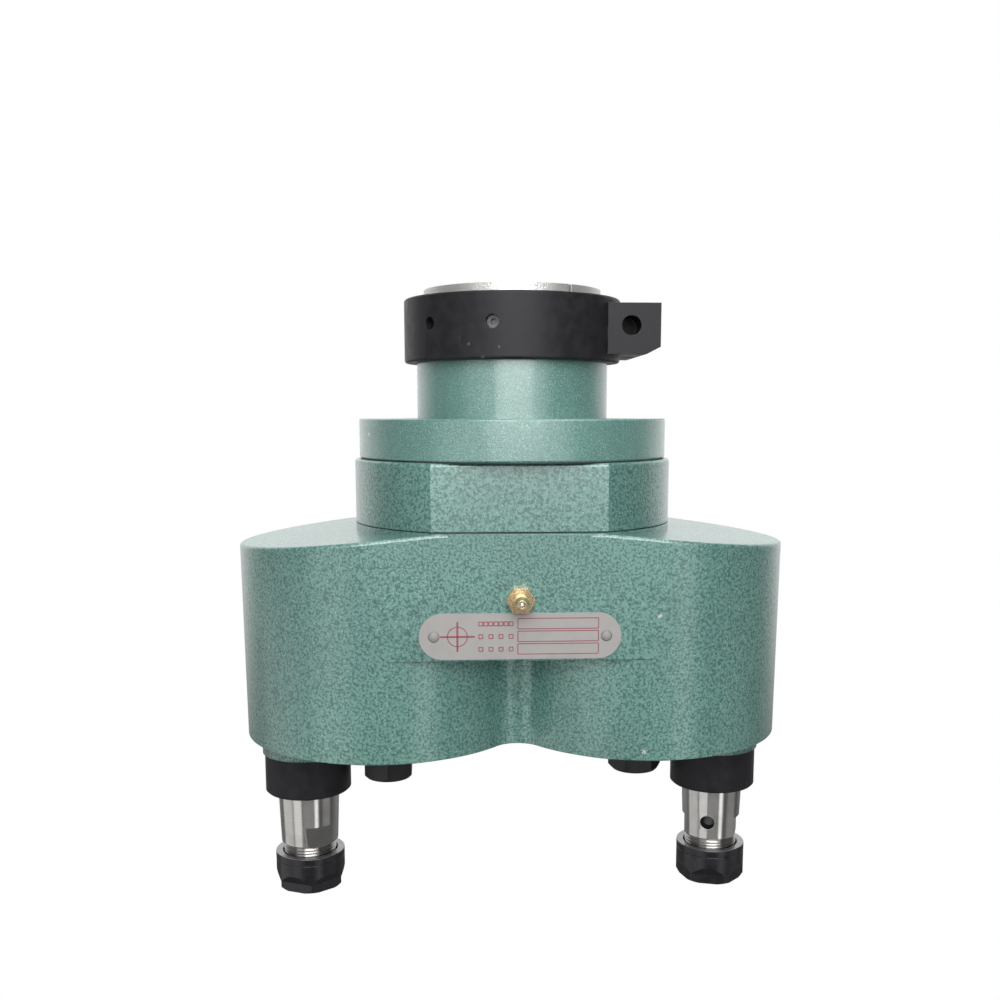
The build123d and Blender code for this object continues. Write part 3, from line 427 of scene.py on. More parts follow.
@dataclass(frozen=True)
class BlackOxide(Finish):
    """Blackened steel: charcoal with a faint mottle, pale scratches and edges rubbed bright.

    Scratches, edge_wear and chip_share are how far each shows the worn colour. Each range is the part
    of a noise that fades its mask in. Above ring_level, where that isn't 0, the steel is rubbed nearly
    bare, and ring_fade is where that starts and ends below it.
    """

    body: Colour = (0.012, 0.012, 0.0145)
    mottle: Colour = (0.0175, 0.0172, 0.020)
    worn: Colour = (0.34, 0.34, 0.35)
    roughness: float = 0.46
    specular: float = 0.22
    metallic: float = 0.1
    mottle_size: float = 5.0 * MM
    mottle_range: tuple[float, float] = (0.35, 0.7)
    scratches: float = 0.12
    scratch_stretch: tuple[float, float, float] = (420.0, 420.0, 60.0)
    scratch_range: tuple[float, float] = (0.70, 0.76)
    edge_wear: float = 0.12
    edge_reach: float = 0.5 * MM
    edge_range: tuple[float, float] = (0.38, 0.62)
    chip_share: float = 0.2
    ring_level: float = 0.0
    ring_share: float = 0.85
    ring_fade: tuple[float, float] = (0.30 * MM, 0.05 * MM)
    tooth: float = 0.5 * MM
    tooth_depth: float = 0.012 * MM
    edge_radius: float = 0.35 * MM
    chips: tuple[Chip, ...] = ()

    def paint(self, sheet: Sheet) -> None:
        """Mixes the oxide, its scratches, its chips and its rubbed edges.

        Args:
            sheet: The sheet in work.
        """
        cloud = sheet.noise(self.mottle_size, 4.0)
        body = sheet.blend(sheet.spread(cloud, *self.mottle_range), self.body, self.mottle)
        streaks = sheet.noise(1.0, 4.0, sheet.stretched(*self.scratch_stretch))
        scratch = sheet.calc("MULTIPLY", sheet.spread(streaks, *self.scratch_range), self.scratches)
        patchy = sheet.spread(cloud, *self.edge_range)
        rubbed = sheet.calc("MULTIPLY", sheet.edge(self.edge_reach), patchy)
        worn = sheet.calc("MAXIMUM", scratch, sheet.calc("MULTIPLY", rubbed, self.edge_wear))
        if self.chips:
            chipped = sheet.calc("MULTIPLY", worn_spots(sheet, self.chips), self.chip_share)
            worn = sheet.calc("MAXIMUM", worn, chipped)
        if self.ring_level:
            start, end = self.ring_fade
            ring = sheet.spread(sheet.z, self.ring_level - start, self.ring_level - end)
            worn = sheet.calc("MAXIMUM", worn, sheet.calc("MULTIPLY", ring, self.ring_share))
        uneven = sheet.spread(cloud, 0.2, 0.8)
        sheet.set(
            Base_Color=sheet.blend(worn, body, self.worn),
            Metallic=sheet.level(worn, self.metallic, 1.0),
            Specular_IOR_Level=self.specular,
            Roughness=sheet.level(uneven, self.roughness - 0.06, self.roughness + 0.08),
        )
        sheet.bump(sheet.noise(self.tooth, 3.0), self.tooth_depth, self.edge_radius)


@dataclass(frozen=True)
class NoseHoles:
    """Where painted shade darkens the spindle noses: in their bores and in the right cross hole.

    The spindles' axes stand at plus and minus axis_x. The cross hole is level, at cross_level, and
    cross_turn is its angle from X. Its wall gets painted shade from wall_radius inwards.
    """

    axis_x: float
    cross_level: float
    bore_radius: float = 12.2 * MM
    cross_turn: float = math.radians(-109.7)
    cross_radius: float = 3.6 * MM
    wall_radius: float = 14.1 * MM

    def mask(self, sheet: Sheet) -> bpy.types.NodeSocket:
        """Mask of the painted shade in the holes.

        A point is in a bore where its squared distance from the upright axis is under the bore's. It is
        in the cross hole where its squared distance from the level axis, which is its height from it
        squared plus its way aside from it squared, is under the hole's.

        Args:
            sheet: The sheet in work.

        Returns:
            A socket that is 1 in the holes.
        """
        off = sheet.calc("SUBTRACT", sheet.calc("ABSOLUTE", sheet.x), self.axis_x)
        square = sheet.calc("MULTIPLY_ADD", off, off, sheet.calc("MULTIPLY", sheet.y, sheet.y))
        bore = sheet.calc("LESS_THAN", square, self.bore_radius**2)
        right_off = sheet.calc("SUBTRACT", sheet.x, self.axis_x)
        across = sheet.calc("MULTIPLY", right_off, -math.sin(self.cross_turn))
        aside = sheet.calc("MULTIPLY_ADD", sheet.y, math.cos(self.cross_turn), across)
        up = sheet.calc("SUBTRACT", sheet.z, self.cross_level)
        apart = sheet.calc("MULTIPLY_ADD", aside, aside, sheet.calc("MULTIPLY", up, up))
        in_cross = sheet.calc("LESS_THAN", apart, self.cross_radius**2)
        under_skin = sheet.calc("LESS_THAN", square, self.wall_radius**2)
        return sheet.calc("MAXIMUM", bore, sheet.calc("MULTIPLY", in_cross, under_skin))


@dataclass(frozen=True)
class BareMetal(Finish):
    """Bare metal with the marks of its making and a film of handling.

    Ring_stretch squeezes the noise of turned metal into fine level rings, which stretch highlights by
    ring_sheen. Cast_size is the size of the mottle of cast metal. Painted shade darkens the holes, where
    given.
    """

    pale: Colour = (0.66, 0.65, 0.63)
    deep: Colour = (0.54, 0.53, 0.51)
    roughness: float = 0.24
    metallic: float = 1.0
    grain: Grain = Grain.TURNED
    ring_stretch: tuple[float, float, float] = (40.0, 40.0, 3000.0)
    ring_sheen: float = 0.88
    cast_size: float = 0.7 * MM
    mark_depth: float = 0.002 * MM
    edge_radius: float = 0.25 * MM
    stain: Colour = (0.26, 0.24, 0.20)
    stain_size: float = 9.0 * MM
    stain_range: tuple[float, float] = (0.48, 0.72)
    staining: float = 0.20
    holes: NoseHoles | None = None
    # Painted shade: a near-black, matt colour that stands in for the shade inside the holes.
    hole_shade: Colour = (0.010, 0.010, 0.012)
    hole_shade_roughness: float = 0.7

    def paint(self, sheet: Sheet) -> None:
        """Mixes the metal: fine rings where it was turned, soft mottle where it was cast.

        Args:
            sheet: The sheet in work.
        """
        if self.grain is Grain.TURNED:
            marks = sheet.noise(1.0, 3.0, sheet.stretched(*self.ring_stretch))
            sheet.lengthwise(self.ring_sheen)
        else:
            marks = sheet.noise(self.cast_size, 4.0)
        blotches = sheet.spread(sheet.noise(self.stain_size, 4.0), *self.stain_range)
        film = sheet.calc("MULTIPLY", blotches, self.staining)
        handled = sheet.blend(film, sheet.blend(marks, self.deep, self.pale), self.stain)
        # Painted shade replaces the metal inside the holes.
        if self.holes:
            shaded_holes = self.holes.mask(sheet)
            sheet.set(
                Base_Color=sheet.blend(shaded_holes, handled, self.hole_shade),
                Metallic=sheet.level(shaded_holes, self.metallic, 0.0),
                Roughness=sheet.level(shaded_holes, self.roughness, self.hole_shade_roughness),
            )
        else:
            sheet.set(
                Base_Color=handled,
                Metallic=self.metallic,
                Roughness=sheet.level(marks, self.roughness - 0.04, self.roughness + 0.06),
            )
        sheet.bump(marks, self.mark_depth, self.edge_radius)


@dataclass(frozen=True)
class DullSkin(Finish):
    """Rubber, paper and printed enamel: no metal, a fine tooth and a little grime."""

    body: Colour = (0.02, 0.02, 0.02)
    grime: Colour = (0.05, 0.045, 0.04)
    roughness: float = 0.6
    tooth: float = 0.35 * MM
    tooth_depth: float = 0.01 * MM
    edge_radius: float = 0.12 * MM
    grime_size: float = 6.0 * MM
    grime_range: tuple[float, float] = (0.42, 0.75)
    grime_share: float = 0.5
    specular: float = 0.3

    def paint(self, sheet: Sheet) -> None:
        """Mixes the body colour with patches of grime over a fine tooth.

        Args:
            sheet: The sheet in work.
        """
        blotches = sheet.spread(sheet.noise(self.grime_size, 4.0), *self.grime_range)
        dirt = sheet.calc("MULTIPLY", blotches, self.grime_share)
        fine = sheet.noise(self.tooth, 3.0)
        sheet.set(
            Base_Color=sheet.blend(dirt, self.body, self.grime),
            Roughness=sheet.level(fine, self.roughness - 0.08, self.roughness + 0.08),
            Specular_IOR_Level=self.specular,
        )
        sheet.bump(fine, self.tooth_depth, self.edge_radius)


def grid_quads(rows: int, columns: int, close_u: bool, close_v: bool) -> np.ndarray:
    """Quads of a grid of points, one for each cell.

    The corners of cell (i, j) are the points (i, j), (i+1, j), (i+1, j+1) and (i, j+1), with the index
    taken round again where the grid is closed. Point (i, j) has the number i * columns + j.

    Args:
        rows: Points along the first way.
        columns: Points along the second way.
        close_u: Whether the last row joins the first.
        close_v: Whether the last column joins the first.

    Returns:
        Array of shape (cells, 4) of point numbers.
    """
    i = np.arange(rows if close_u else rows - 1)[:, None]
    j = np.arange(columns if close_v else columns - 1)[None, :]
    after_i = (i + 1) % rows
    after_j = (j + 1) % columns
    corners = [i * columns + j, after_i * columns + j, after_i * columns + after_j, i * columns + after_j]
    return np.stack([np.broadcast_to(c, (i.size, j.size)) for c in corners], axis=-1).reshape(-1, 4)


def put_mesh(name: str, vertices: np.ndarray, quads: np.ndarray) -> bpy.types.Object:
    """Fills a new mesh from whole arrays and links it.

    Args:
        name: The object's name.
        vertices: Array of shape (n, 3) in metres.
        quads: Array of shape (m, 4) of vertex numbers.

    Returns:
        The linked object, smooth shaded.
    """
    mesh = bpy.data.meshes.new(name)
    mesh.vertices.add(len(vertices))
    mesh.vertices.foreach_set("co", np.ascontiguousarray(vertices, np.float32).ravel())
    mesh.loops.add(quads.size)
    mesh.loops.foreach_set("vertex_index", quads.astype(np.int32).ravel())
    mesh.polygons.add(len(quads))
    mesh.polygons.foreach_set("loop_start", np.arange(0, quads.size, 4, dtype=np.int32))
    mesh.polygons.foreach_set("use_smooth", np.ones(len(quads), bool))
    mesh.update(calc_edges=True)
    mesh.validate()
    made = bpy.data.objects.new(name, mesh)
    bpy.context.scene.collection.objects.link(made)
    return made


@dataclass
class NoseThread:
    """The thread that shows between a spindle nose and its collet nut.

    It runs from gap to length above the nut's top. Its root stands a skin proud of the nose, and a wall
    inside the nose closes it. Crest and steepness say how wide the ridge is and how steep its sides.
    """

    side: Side
    core_radius: float = 12.5 * MM
    skin: float = 0.02 * MM
    wall: float = 0.4 * MM
    depth: float = 0.42 * MM
    pitch: float = 1.5 * MM
    crest: float = 1.35
    steepness: float = 2.9
    length: float = 6.9 * MM
    gap: float = 0.05 * MM
    steps_round: int = 120
    steps_per_pitch: int = 10

    def surface(self, axis: Vector, top: float, bottom: float) -> np.ndarray:
        """Points of the thread, a ring closed both ways.

        Angle runs one way round the axis. The other way round goes down the outside and up a plain wall
        inside it. Outside, the radius is the core plus the depth times a cut triangle wave of height
        over pitch minus angle over a full turn, faded out over half a pitch at both ends.

        Args:
            axis: A point on the spindle's axis.
            top: Height of the upper end.
            bottom: Height of the lower end.

        Returns:
            Array of shape (angles, loop, 3).
        """
        steps = int(round((top - bottom) / self.pitch * self.steps_per_pitch))
        angle = np.linspace(0.0, 2.0 * np.pi, self.steps_round, endpoint=False)[:, None]
        height = np.linspace(top, bottom, steps + 1)[None, :]
        wave = np.mod(height / self.pitch - angle / (2.0 * np.pi), 1.0)
        ridge = np.clip(self.crest - self.steepness * np.abs(wave - 0.5), 0.0, 1.0)
        fade = np.clip((top - height) / (0.5 * self.pitch), 0.0, 1.0)
        fade = fade * np.clip((height - bottom) / (0.5 * self.pitch), 0.0, 1.0)
        outer = self.core_radius + self.skin + self.depth * ridge * fade
        inner = np.full_like(outer, self.core_radius - self.wall)
        radius = np.concatenate([outer, inner[:, ::-1]], axis=1)
        levels = np.concatenate([height, height[:, ::-1]], axis=1)
        x = axis.x + radius * np.cos(angle)
        y = axis.y + radius * np.sin(angle)
        z = np.broadcast_to(levels, radius.shape)
        return np.stack([x, y, z], axis=-1)

    def build(self, finish: bpy.types.Material) -> bpy.types.Object:
        """Cuts the thread on the nose, from its lower end to the collet nut.

        Args:
            finish: The steel's material.

        Returns:
            The finished piece, riding on its spindle.
        """
        low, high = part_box(f"{self.side.value}_collet_nut")
        axis = (low + high) / 2
        points = self.surface(axis, high.z + self.length, high.z + self.gap)
        quads = grid_quads(*points.shape[:2], True, True)
        piece = put_mesh(f"{self.side.value}_nose_thread", points.reshape(-1, 3), quads)
        piece.data.flip_normals()
        piece.data.materials.append(finish)
        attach(piece, f"{self.side.value}_spindle")
        return piece


@dataclass(frozen=True)
class Outline:
    """A rounded rectangle: its centre, its size and the radius of its corners."""

    across: float
    up: float
    width: float
    height: float
    corner: float

    def path(self, points_per_corner: int) -> np.ndarray:
        """Points along the outline, anticlockwise.

        Each quarter of the points turns through 90 degrees about one corner's centre, so a point is the
        corner's centre plus the corner radius times the direction at that angle.

        Args:
            points_per_corner: How many points round each corner.

        Returns:
            Array of shape (points, 2).
        """
        quarter = np.linspace(0.0, np.pi / 2, points_per_corner)[None, :]
        turn = np.arange(4)[:, None] * (np.pi / 2) + quarter
        sign_x = np.array([1, -1, -1, 1])[:, None]
        sign_y = np.array([1, 1, -1, -1])[:, None]
        x = self.across + sign_x * (self.width / 2 - self.corner) + self.corner * np.cos(turn)
        y = self.up + sign_y * (self.height / 2 - self.corner) + self.corner * np.sin(turn)
        return np.stack([x.ravel(), y.ravel()], axis=-1)


@dataclass
class NutRim:
    """The plain round rim on top of a collet nut, round the lower end of the nose thread.

    It rises above the nut and sits down round the nut's top by seat, a skin proud of its side.
    """

    side: Side
    inner_radius: float = 13.5 * MM
    rise: float = 3.1 * MM
    seat: float = 0.7 * MM
    skin: float = 0.03 * MM
    corner: float = 0.5 * MM
    corner_points: int = 16
    steps_round: int = 120

    def build(self, finish: bpy.types.Material) -> bpy.types.Object:
        """Turns the rim: a rounded rectangle of radius and height, carried round the nut's axis.

        Args:
            finish: The nut's material.

        Returns:
            The finished piece, riding on its collet nut.
        """
        low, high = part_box(f"{self.side.value}_collet_nut")
        axis = (low + high) / 2
        outer = (high.x - low.x) / 2 + self.skin
        middle = (outer + self.inner_radius) / 2
        level = high.z + (self.rise - self.seat) / 2
        section = Outline(middle, level, outer - self.inner_radius, self.rise + self.seat, self.corner)
        radius, height = section.path(self.corner_points).T
        angle = np.linspace(0.0, 2.0 * np.pi, self.steps_round, endpoint=False)[:, None]
        x = axis.x + radius * np.cos(angle)
        y = axis.y + radius * np.sin(angle)
        points = np.stack([x, y, np.broadcast_to(height, x.shape)], axis=-1)
        quads = grid_quads(*points.shape[:2], True, True)
        piece = put_mesh(f"{self.side.value}_nut_rim", points.reshape(-1, 3), quads)
        piece.data.materials.append(finish)
        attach(piece, f"{self.side.value}_collet_nut")
        return piece


@dataclass
class PlatePrint:
    """Blank print on the nameplate: three empty frames, empty squares for their labels, a centre mark.

    Places are measured on the plate from its centre. Line is how wide the print is, rise how far it
    stands off the plate, and draft the angle at which the plate leans back. The mark's bars are so many
    times its ring's size long, and bolder than a line.
    """

    row_levels: tuple[float, ...] = (5.6 * MM, 0.0, -5.6 * MM)
    squares_in_row: tuple[int, ...] = (7, 4, 4)
    frame_left: float = -1.1 * MM
    frame_right: float = 34.0 * MM
    frame_height: float = 4.6 * MM
    labels_left: float = -18.0 * MM
    labels_right: float = -3.2 * MM
    square: float = 1.7 * MM
    mark_across: float = -27.3 * MM
    mark_size: float = 8.6 * MM
    mark_bars: tuple[float, float] = (1.7, 1.5)
    mark_boldness: float = 1.2
    line: float = 0.36 * MM
    rise: float = 0.05 * MM
    corner: float = 0.3 * MM
    draft: float = math.radians(0.75)
    corner_points: int = 8
    section_points: int = 8

    def frames(self) -> list[Outline]:
        """The three empty frames.

        Returns:
            One outline for each.
        """
        middle = (self.frame_left + self.frame_right) / 2
        width = self.frame_right - self.frame_left
        return [Outline(middle, up, width, self.frame_height, self.corner) for up in self.row_levels]

    def labels(self) -> list[Outline]:
        """Rows of empty squares, spread evenly from left to right.

        Returns:
            One outline for each square.
        """
        squares = []
        corner = 0.3 * self.corner
        first = self.labels_left + self.square / 2
        for up, count in zip(self.row_levels, self.squares_in_row):
            step = (self.labels_right - self.labels_left - self.square) / (count - 1)
            squares += [
                Outline(first + step * i, up, self.square, self.square, corner) for i in range(count)
            ]
        return squares

    def mark(self) -> list[Outline]:
        """A centre mark: a ring, and a level and an upright bar through it, which are longer than it.

        Returns:
            The outlines of the three. A square whose corners are nearly half its size is the ring.
        """
        size, line = self.mark_size, self.mark_boldness * self.line
        level_bar, upright_bar = self.mark_bars
        return [
            Outline(self.mark_across, 0.0, size, size, 0.499 * size),
            Outline(self.mark_across, 0.0, level_bar * size, line, 0.4 * line),
            Outline(self.mark_across, 0.0, line, upright_bar * size, 0.4 * line),
        ]

    def surface(self, outline: Outline, face_y: float, level: float) -> np.ndarray:
        """Sweeps a flat oval section along an outline on the leaning plate.

        A point is the outline moved out along its own normal by half the line times a cosine, and off
        the plate by the rise times a sine. The plate leans by its draft, so Y follows the height.

        Args:
            outline: What to print.
            face_y: Y of the plate's face at its centre.
            level: Height of the plate's centre.

        Returns:
            Array of shape (outline points, section points, 3).
        """
        path = outline.path(self.corner_points)
        along = np.roll(path, -1, axis=0) - np.roll(path, 1, axis=0)
        along /= np.linalg.norm(along, axis=1, keepdims=True)
        normal = np.stack([along[:, 1], -along[:, 0]], axis=-1)
        section = np.linspace(0.0, 2.0 * np.pi, self.section_points, endpoint=False)
        flat = path[:, None, :] + normal[:, None, :] * (self.line / 2 * np.cos(section))[None, :, None]
        lift = np.broadcast_to(self.rise * np.sin(section)[None, :], flat.shape[:2])
        y = face_y - math.tan(self.draft) * flat[..., 1] - lift
        return np.stack([flat[..., 0], y, level + flat[..., 1]], axis=-1)

    def build(self, finish: bpy.types.Material) -> list[bpy.types.Object]:
        """Prints everything on the plate.

        Args:
            finish: The printing ink's material.

        Returns:
            One object each for the frames, the labels and the centre mark.
        """
        low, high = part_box("nameplate")
        level = (low.z + high.z) / 2
        face_y = low.y + math.tan(self.draft) * (high.z - level)
        pieces = []
        for name, outlines in (("frames", self.frames()), ("labels", self.labels()), ("mark", self.mark())):
            grids = np.stack([self.surface(outline, face_y, level) for outline in outlines])
            rows, columns = grids.shape[1:3]
            first = np.arange(len(grids))[:, None, None] * rows * columns
            quads = (grid_quads(rows, columns, True, True) + first).reshape(-1, 4)
            piece = put_mesh(f"plate_{name}", grids.reshape(-1, 3), quads)
            piece.data.materials.append(finish)
            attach(piece, "head")
            pieces.append(piece)
        return pieces


@dataclass
class Dressing:
    """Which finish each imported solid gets.

    The neck is bare steel within spigot_radius above spigot_bottom, where the collar grips it, and
    within quill_radius, where the quill goes. The spindles stand at plus and minus spindle_x, and the
    cross hole's axis is cross_hole_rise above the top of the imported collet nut.
    """

    nodes: dict[str, bpy.types.Object]
    spigot_radius: float = 42.6 * MM
    spigot_bottom: float = -33.9 * MM
    quill_radius: float = 33.5 * MM
    spindle_x: float = 102.0 * MM
    cross_hole_rise: float = 16.8 * MM

    def finishes(self) -> dict[str, Finish]:
        """Mixes the finishes that the solids and the new pieces get.

        Returns:
            Every finish by its short name.
        """
        nut_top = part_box("left_collet_nut")[1].z
        return {
            "case": HammeredPaint("hammered_paint_case", chips=(
                Chip((61.0 * MM, -68.5 * MM, -144.6 * MM), 1.6 * MM),
                Chip((55.2 * MM, -67.4 * MM, -206.1 * MM), 1.8 * MM),
            )),
            "fine": HammeredPaint(
                "hammered_paint_neck",
                fleck=0.75 * MM,
                worm_share=0.40,
                glint_share=0.6,
                flake=0.07,
                coat_roughness=0.23,
                body=(0.096, 0.212, 0.187),
                drifted=(0.104, 0.230, 0.197),
                bare_radius=self.spigot_radius,
                bare_bottom=self.spigot_bottom,
                bore_radius=self.quill_radius,
                chips=(Chip((-66.6 * MM, -30.4 * MM, -66.4 * MM), 1.3 * MM),),
            ),
            "oxide": BlackOxide("black_oxide", chips=(
                Chip((-21.5 * MM, -46.6 * MM, -27.2 * MM), 1.2 * MM),
                Chip((-8.3 * MM, -50.6 * MM, -28.5 * MM), 0.9 * MM),
                Chip((-15.5 * MM, -48.8 * MM, -32.9 * MM), 1.2 * MM),
            )),
            "nut_oxide": BlackOxide(
                "nut_oxide",
                roughness=0.28,
                specular=0.42,
                edge_wear=0.3,
                ring_level=nut_top + NutRim.rise,
            ),
            "screw": BlackOxide("screw_black", roughness=0.38, specular=0.5, scratches=0.05),
            # Painted shade: the clamp screw down its lug hole is darker and duller than the other black
            # steel, standing in for the hole's shade.
            "recessed": BlackOxide(
                "clamp_screw_painted_shade", body=(0.005, 0.005, 0.006), mottle=(0.009, 0.009, 0.010), specular=0.12
            ),
            "turned": BareMetal("turned_steel"),
            # The spindle noses get painted shade in their bores and cross hole.
            "spindle": BareMetal(
                "spindle_steel", holes=NoseHoles(self.spindle_x, nut_top + self.cross_hole_rise)
            ),
            "thread": BareMetal(
                "thread_steel", pale=(0.42, 0.41, 0.40), deep=(0.30, 0.29, 0.28), roughness=0.30
            ),
            "gear": BareMetal("gear_steel", pale=(0.46, 0.44, 0.40), deep=(0.30, 0.28, 0.25), staining=0.5),
            "bearing": BareMetal("bearing_steel", pale=(0.66, 0.66, 0.65), roughness=0.18),
            "brass": BareMetal(
                "brass",
                pale=(0.85, 0.68, 0.42),
                deep=(0.62, 0.47, 0.27),
                stain=(0.30, 0.19, 0.08),
                metallic=0.9,
                grain=Grain.CAST,
            ),
            "bronze": BareMetal(
                "bronze", pale=(0.55, 0.33, 0.17), deep=(0.38, 0.21, 0.10), grain=Grain.CAST
            ),
            "rivet": BareMetal(
                "rivet_aluminium",
                pale=(0.27, 0.265, 0.26),
                deep=(0.20, 0.197, 0.19),
                roughness=0.4,
                metallic=0.3,
                grain=Grain.CAST,
            ),
            # Dark steel: the grub screws' own colour, and painted shade on the collet deep inside the
            # spindle nose.
            "grub": BareMetal(
                "dark_steel_grub_and_collet_shade",
                pale=(0.13, 0.13, 0.13),
                deep=(0.05, 0.05, 0.055),
                roughness=0.45,
                metallic=0.3,
                grain=Grain.CAST,
            ),
            "rubber": DullSkin("seal_rubber", body=(0.018, 0.017, 0.017)),
            "paper": DullSkin("gasket_paper", body=(0.035, 0.045, 0.04), grime=(0.02, 0.02, 0.018)),
            "plate": DullSkin(
                "plate_enamel",
                body=(0.285, 0.276, 0.267),
                grime=(0.245, 0.236, 0.228),
                roughness=0.42,
                specular=0.5,
            ),
            "ink": DullSkin("plate_ink", body=(0.25, 0.03, 0.05), grime=(0.19, 0.04, 0.05), roughness=0.5),
        }

    def plan(self) -> dict[str, str]:
        """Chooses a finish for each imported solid.

        Returns:
            The finish's short name by the solid's name without its side.
        """
        return {
            "clamp_collar": "oxide",
            # Painted shade on the clamp screw in its lug hole.
            "clamp_screw": "recessed",
            "collar_grub_screws": "grub",
            "neck": "fine",
            "flange_gasket": "paper",
            "bearing_block": "case",
            "block_gasket": "paper",
            "case_screws": "screw",
            "gear_case": "case",
            "main_outer_rings": "bearing",
            "main_bearing_spacer": "turned",
            "shaft_seal": "rubber",
            "grease_nipple": "brass",
            "nipple_ball": "bearing",
            "nameplate": "plate",
            "nameplate_rivets": "rivet",
            "main_ball_rows": "bearing",
            "main_shaft": "turned",
            "main_inner_rings": "bearing",
            "bearing_locknut": "screw",
            "main_gear": "gear",
            "main_gear_key": "turned",
            "gear_retainer": "screw",
            "gear_retainer_screw": "screw",
            "pivot_stud": "turned",
            "pivot_washer": "turned",
            "pivot_nut": "screw",
            "idler_gear": "gear",
            "idler_bush": "bronze",
            "swing_arm": "case",
            "spindle_outer_rings": "bearing",
            "bearing_cap": "oxide",
            "spindle_seal": "rubber",
            "spindle_ball_rows": "bearing",
            "spindle": "spindle",
            "spindle_gear": "gear",
            "spindle_key": "turned",
            "spindle_circlip": "screw",
            "spindle_inner_rings": "bearing",
            # Painted shade: the collet inside the nose takes the dark grub steel.
            "collet": "grub",
            "collet_nut": "nut_oxide",
        }

    def dress(self) -> dict[str, bpy.types.Material]:
        """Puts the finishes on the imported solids.

        Returns:
            The materials by the finish's short name, for the new pieces to share.
        """
        made = {key: finish.material() for key, finish in self.finishes().items()}
        sides = tuple(f"{side.value}_" for side in Side)
        plan = self.plan()
        for name, solid in self.nodes.items():
            plain = name.split("_", 1)[1] if name.startswith(sides) else name
            material = made[plan[plain]]
            for slot in solid.material_slots:
                slot.material = material
            LOG.info("dressed %s in %s", name, material.name)
        return made


@dataclass(frozen=True)
class Lamp:
    """A soft rectangular lamp: where it stands round the head, its size and its power.

    Azimuth and elevation are in degrees, azimuth from the front towards plus X, and power is in watts.
    A lamp that doesn't reflect is left out of reflections, and one that doesn't light is only in them.
    """

    name: str
    azimuth: float
    elevation: float
    distance: float
    width: float
    height: float
    power: float
    lights: bool = True
    reflects: bool = True


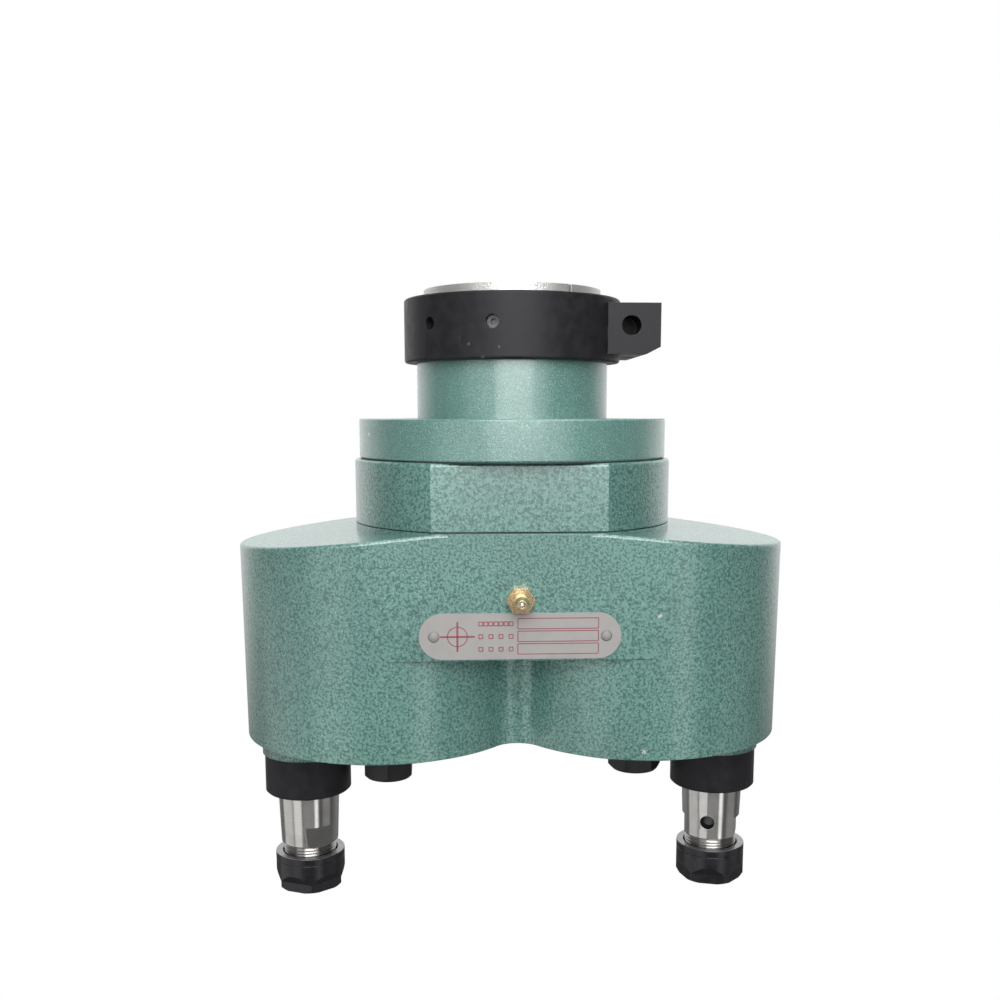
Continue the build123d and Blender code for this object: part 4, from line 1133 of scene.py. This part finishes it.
@dataclass
class Studio:
    """The floor, the surroundings, the lamps and the camera.

    The camera sees pure white all round, as in the photo's cut-out. Reflections see white behind the
    head and a dim room in front of it, which is what draws the pale rims and dark flanks. They don't
    see the floor, so the tall lamps draw their streaks on the low spindle noses too.

    The reflected room's brightness goes by the direction of the ray. It is front_glow where the Y part
    is under back_from or the Z part under low_from, and back_glow where both are past back_to and
    low_to. Heading and pitch are the camera's turn and its tilt down, in degrees, and sensor and lens
    are in millimetres.
    """

    floor_level: float
    aim: tuple[float, float, float] = (0.0, 0.0, -0.155)
    floor_half: float = 6.0
    floor_grey: float = 0.20
    room_glow: float = 0.30
    front_glow: float = 0.12
    back_glow: float = 1.15
    back_from: float = 0.15
    back_to: float = 0.75
    low_from: float = -0.36
    low_to: float = -0.08
    lamps: tuple[Lamp, ...] = (
        Lamp("key_strip", 31.0, 0.0, 1.5, 0.36, 2.6, 4.2, lights=False),
        Lamp("fill_strip", -43.0, 0.0, 1.6, 0.9, 2.6, 7.0, lights=False),
        Lamp("left_card", -87.0, -24.0, 1.5, 1.15, 0.9, 2.3, lights=False),
        Lamp("right_card", 76.0, -24.0, 1.5, 0.9, 0.9, 0.6, lights=False),
        Lamp("front_lamp", 0.0, 26.0, 1.2, 1.0, 1.0, 19.0),
        Lamp("back_left_lamp", -140.0, 18.0, 1.5, 0.8, 0.8, 12.0, reflects=False),
        Lamp("back_right_lamp", 140.0, 18.0, 1.5, 0.8, 0.8, 10.0, reflects=False),
        Lamp("top_lamp", 10.0, 80.0, 1.5, 1.2, 1.2, 12.0),
    )
    eye: tuple[float, float, float] = (-0.0283, -0.5393, -0.0572)
    heading: float = 3.0
    pitch: float = 8.0
    sensor: float = 36.0
    lens: float = 39.85
    shift: tuple[float, float] = (-0.012, 0.069)
    clip: tuple[float, float] = (0.01, 50.0)

    def build_floor(self) -> None:
        """Lays the floor: pure white to the camera, and plain grey to all other light."""
        half, level = self.floor_half, self.floor_level
        corners = np.array([
            [-half, -half, level],
            [half, -half, level],
            [half, half, level],
            [-half, half, level],
        ])
        floor = put_mesh("floor", corners, np.array([[0, 1, 2, 3]]))
        sheet = Sheet("floor_white")
        seen = sheet.tree.nodes.new("ShaderNodeLightPath").outputs["Is Camera Ray"]
        grey = (self.floor_grey,) * 3
        sheet.set(
            Base_Color=sheet.blend(seen, grey, (0.0, 0.0, 0.0)),
            Roughness=0.9,
            Specular_IOR_Level=0.0,
            Emission_Color=(1.0, 1.0, 1.0),
            Emission_Strength=seen,
        )
        floor.data.materials.append(sheet.material)
        floor.visible_glossy = False
        floor.visible_shadow = False
        floor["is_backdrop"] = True

    def reflected_room(self, tree: bpy.types.NodeTree) -> bpy.types.NodeSocket:
        """Brightness of the reflected room: a ramp over Y, up to a ramp over Z.

        Args:
            tree: The world's node tree.

        Returns:
            The brightness's socket.
        """
        split = tree.nodes.new("ShaderNodeSeparateXYZ")
        tree.links.new(tree.nodes.new("ShaderNodeTexCoord").outputs["Object"], split.inputs[0])
        glow: Value = self.back_glow
        for axis, low, high in (
            ("Z", self.low_from, self.low_to),
            ("Y", self.back_from, self.back_to),
        ):
            ramp = tree.nodes.new("ShaderNodeMapRange")
            ramp.interpolation_type = "SMOOTHSTEP"
            tree.links.new(split.outputs[axis], ramp.inputs["Value"])
            for name, value in (("From Min", low), ("From Max", high), ("To Min", self.front_glow)):
                ramp.inputs[name].default_value = value
            if isinstance(glow, float):
                ramp.inputs["To Max"].default_value = glow
            else:
                tree.links.new(glow, ramp.inputs["To Max"])
            glow = ramp.outputs[0]
        return glow

    def build_world(self) -> None:
        """Sets the surroundings.

        They are white to the camera, the reflected room to shiny rays and an even glow to the others.
        """
        world = bpy.data.worlds.new("surroundings")
        bpy.context.scene.world = world
        world.use_nodes = True
        tree = world.node_tree
        tree.nodes.clear()
        rays = tree.nodes.new("ShaderNodeLightPath")
        strength: Value = self.room_glow
        for ray, level in (("Is Glossy Ray", self.reflected_room(tree)), ("Is Camera Ray", 1.0)):
            pick = tree.nodes.new("ShaderNodeMix")
            pick.data_type = "FLOAT"
            tree.links.new(rays.outputs[ray], pick.inputs[0])
            for place, value in zip(MIX_NUMBERS, (strength, level)):
                if isinstance(value, float):
                    pick.inputs[place].default_value = value
                else:
                    tree.links.new(value, pick.inputs[place])
            strength = pick.outputs[0]
        background = tree.nodes.new("ShaderNodeBackground")
        background.inputs["Color"].default_value = (1.0, 1.0, 1.0, 1.0)
        tree.links.new(strength, background.inputs["Strength"])
        output = tree.nodes.new("ShaderNodeOutputWorld")
        tree.links.new(background.outputs[0], output.inputs["Surface"])

    def build_lamps(self) -> None:
        """Stands the lamps round the head, each aimed at its middle."""
        aim = Vector(self.aim)
        for lamp in self.lamps:
            light = bpy.data.lights.new(lamp.name, "AREA")
            light.shape = "RECTANGLE"
            light.size = lamp.width
            light.size_y = lamp.height
            light.energy = lamp.power
            azimuth, elevation = math.radians(lamp.azimuth), math.radians(lamp.elevation)
            level = math.cos(elevation)
            way = Vector((math.sin(azimuth) * level, -math.cos(azimuth) * level, math.sin(elevation)))
            stand = bpy.data.objects.new(lamp.name, light)
            bpy.context.scene.collection.objects.link(stand)
            stand.visible_diffuse = lamp.lights
            stand.visible_glossy = lamp.reflects
            stand.location = aim + way * lamp.distance
            stand.rotation_mode = "QUATERNION"
            stand.rotation_quaternion = way.to_track_quat("Z", "Y")

    def build_camera(self) -> None:
        """Sets up the camera where the photographer's stood."""
        camera = bpy.data.cameras.new("camera")
        camera.sensor_width = self.sensor
        camera.lens = self.lens
        camera.shift_x, camera.shift_y = self.shift
        camera.clip_start, camera.clip_end = self.clip
        stand = bpy.data.objects.new("camera", camera)
        bpy.context.scene.collection.objects.link(stand)
        stand.location = self.eye
        stand.rotation_euler = (math.radians(90.0 - self.pitch), 0.0, -math.radians(self.heading))
        bpy.context.scene.camera = stand

    def build(self) -> None:
        """Sets up everything round the head."""
        bpy.context.scene.view_settings.view_transform = "Standard"
        self.build_camera()
        self.build_floor()
        self.build_world()
        self.build_lamps()


def main() -> None:
    """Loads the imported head, dresses it, adds the new pieces and sets up the studio."""
    logging.basicConfig(level=logging.INFO, format="%(message)s")
    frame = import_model()
    solid_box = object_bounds()
    Studio(floor_level=solid_box[0].z - 0.2 * MM).build()
    materials = Dressing(frame["nodes"]).dress()
    for side in Side:
        thread = NoseThread(side).build(materials["thread"])
        rim = NutRim(side).build(materials["nut_oxide"])
        LOG.info("cut %s and %s", thread.name, rim.name)
    for piece in PlatePrint().build(materials["ink"]):
        LOG.info("printed %s", piece.name)


if __name__ == "__main__":
    main()
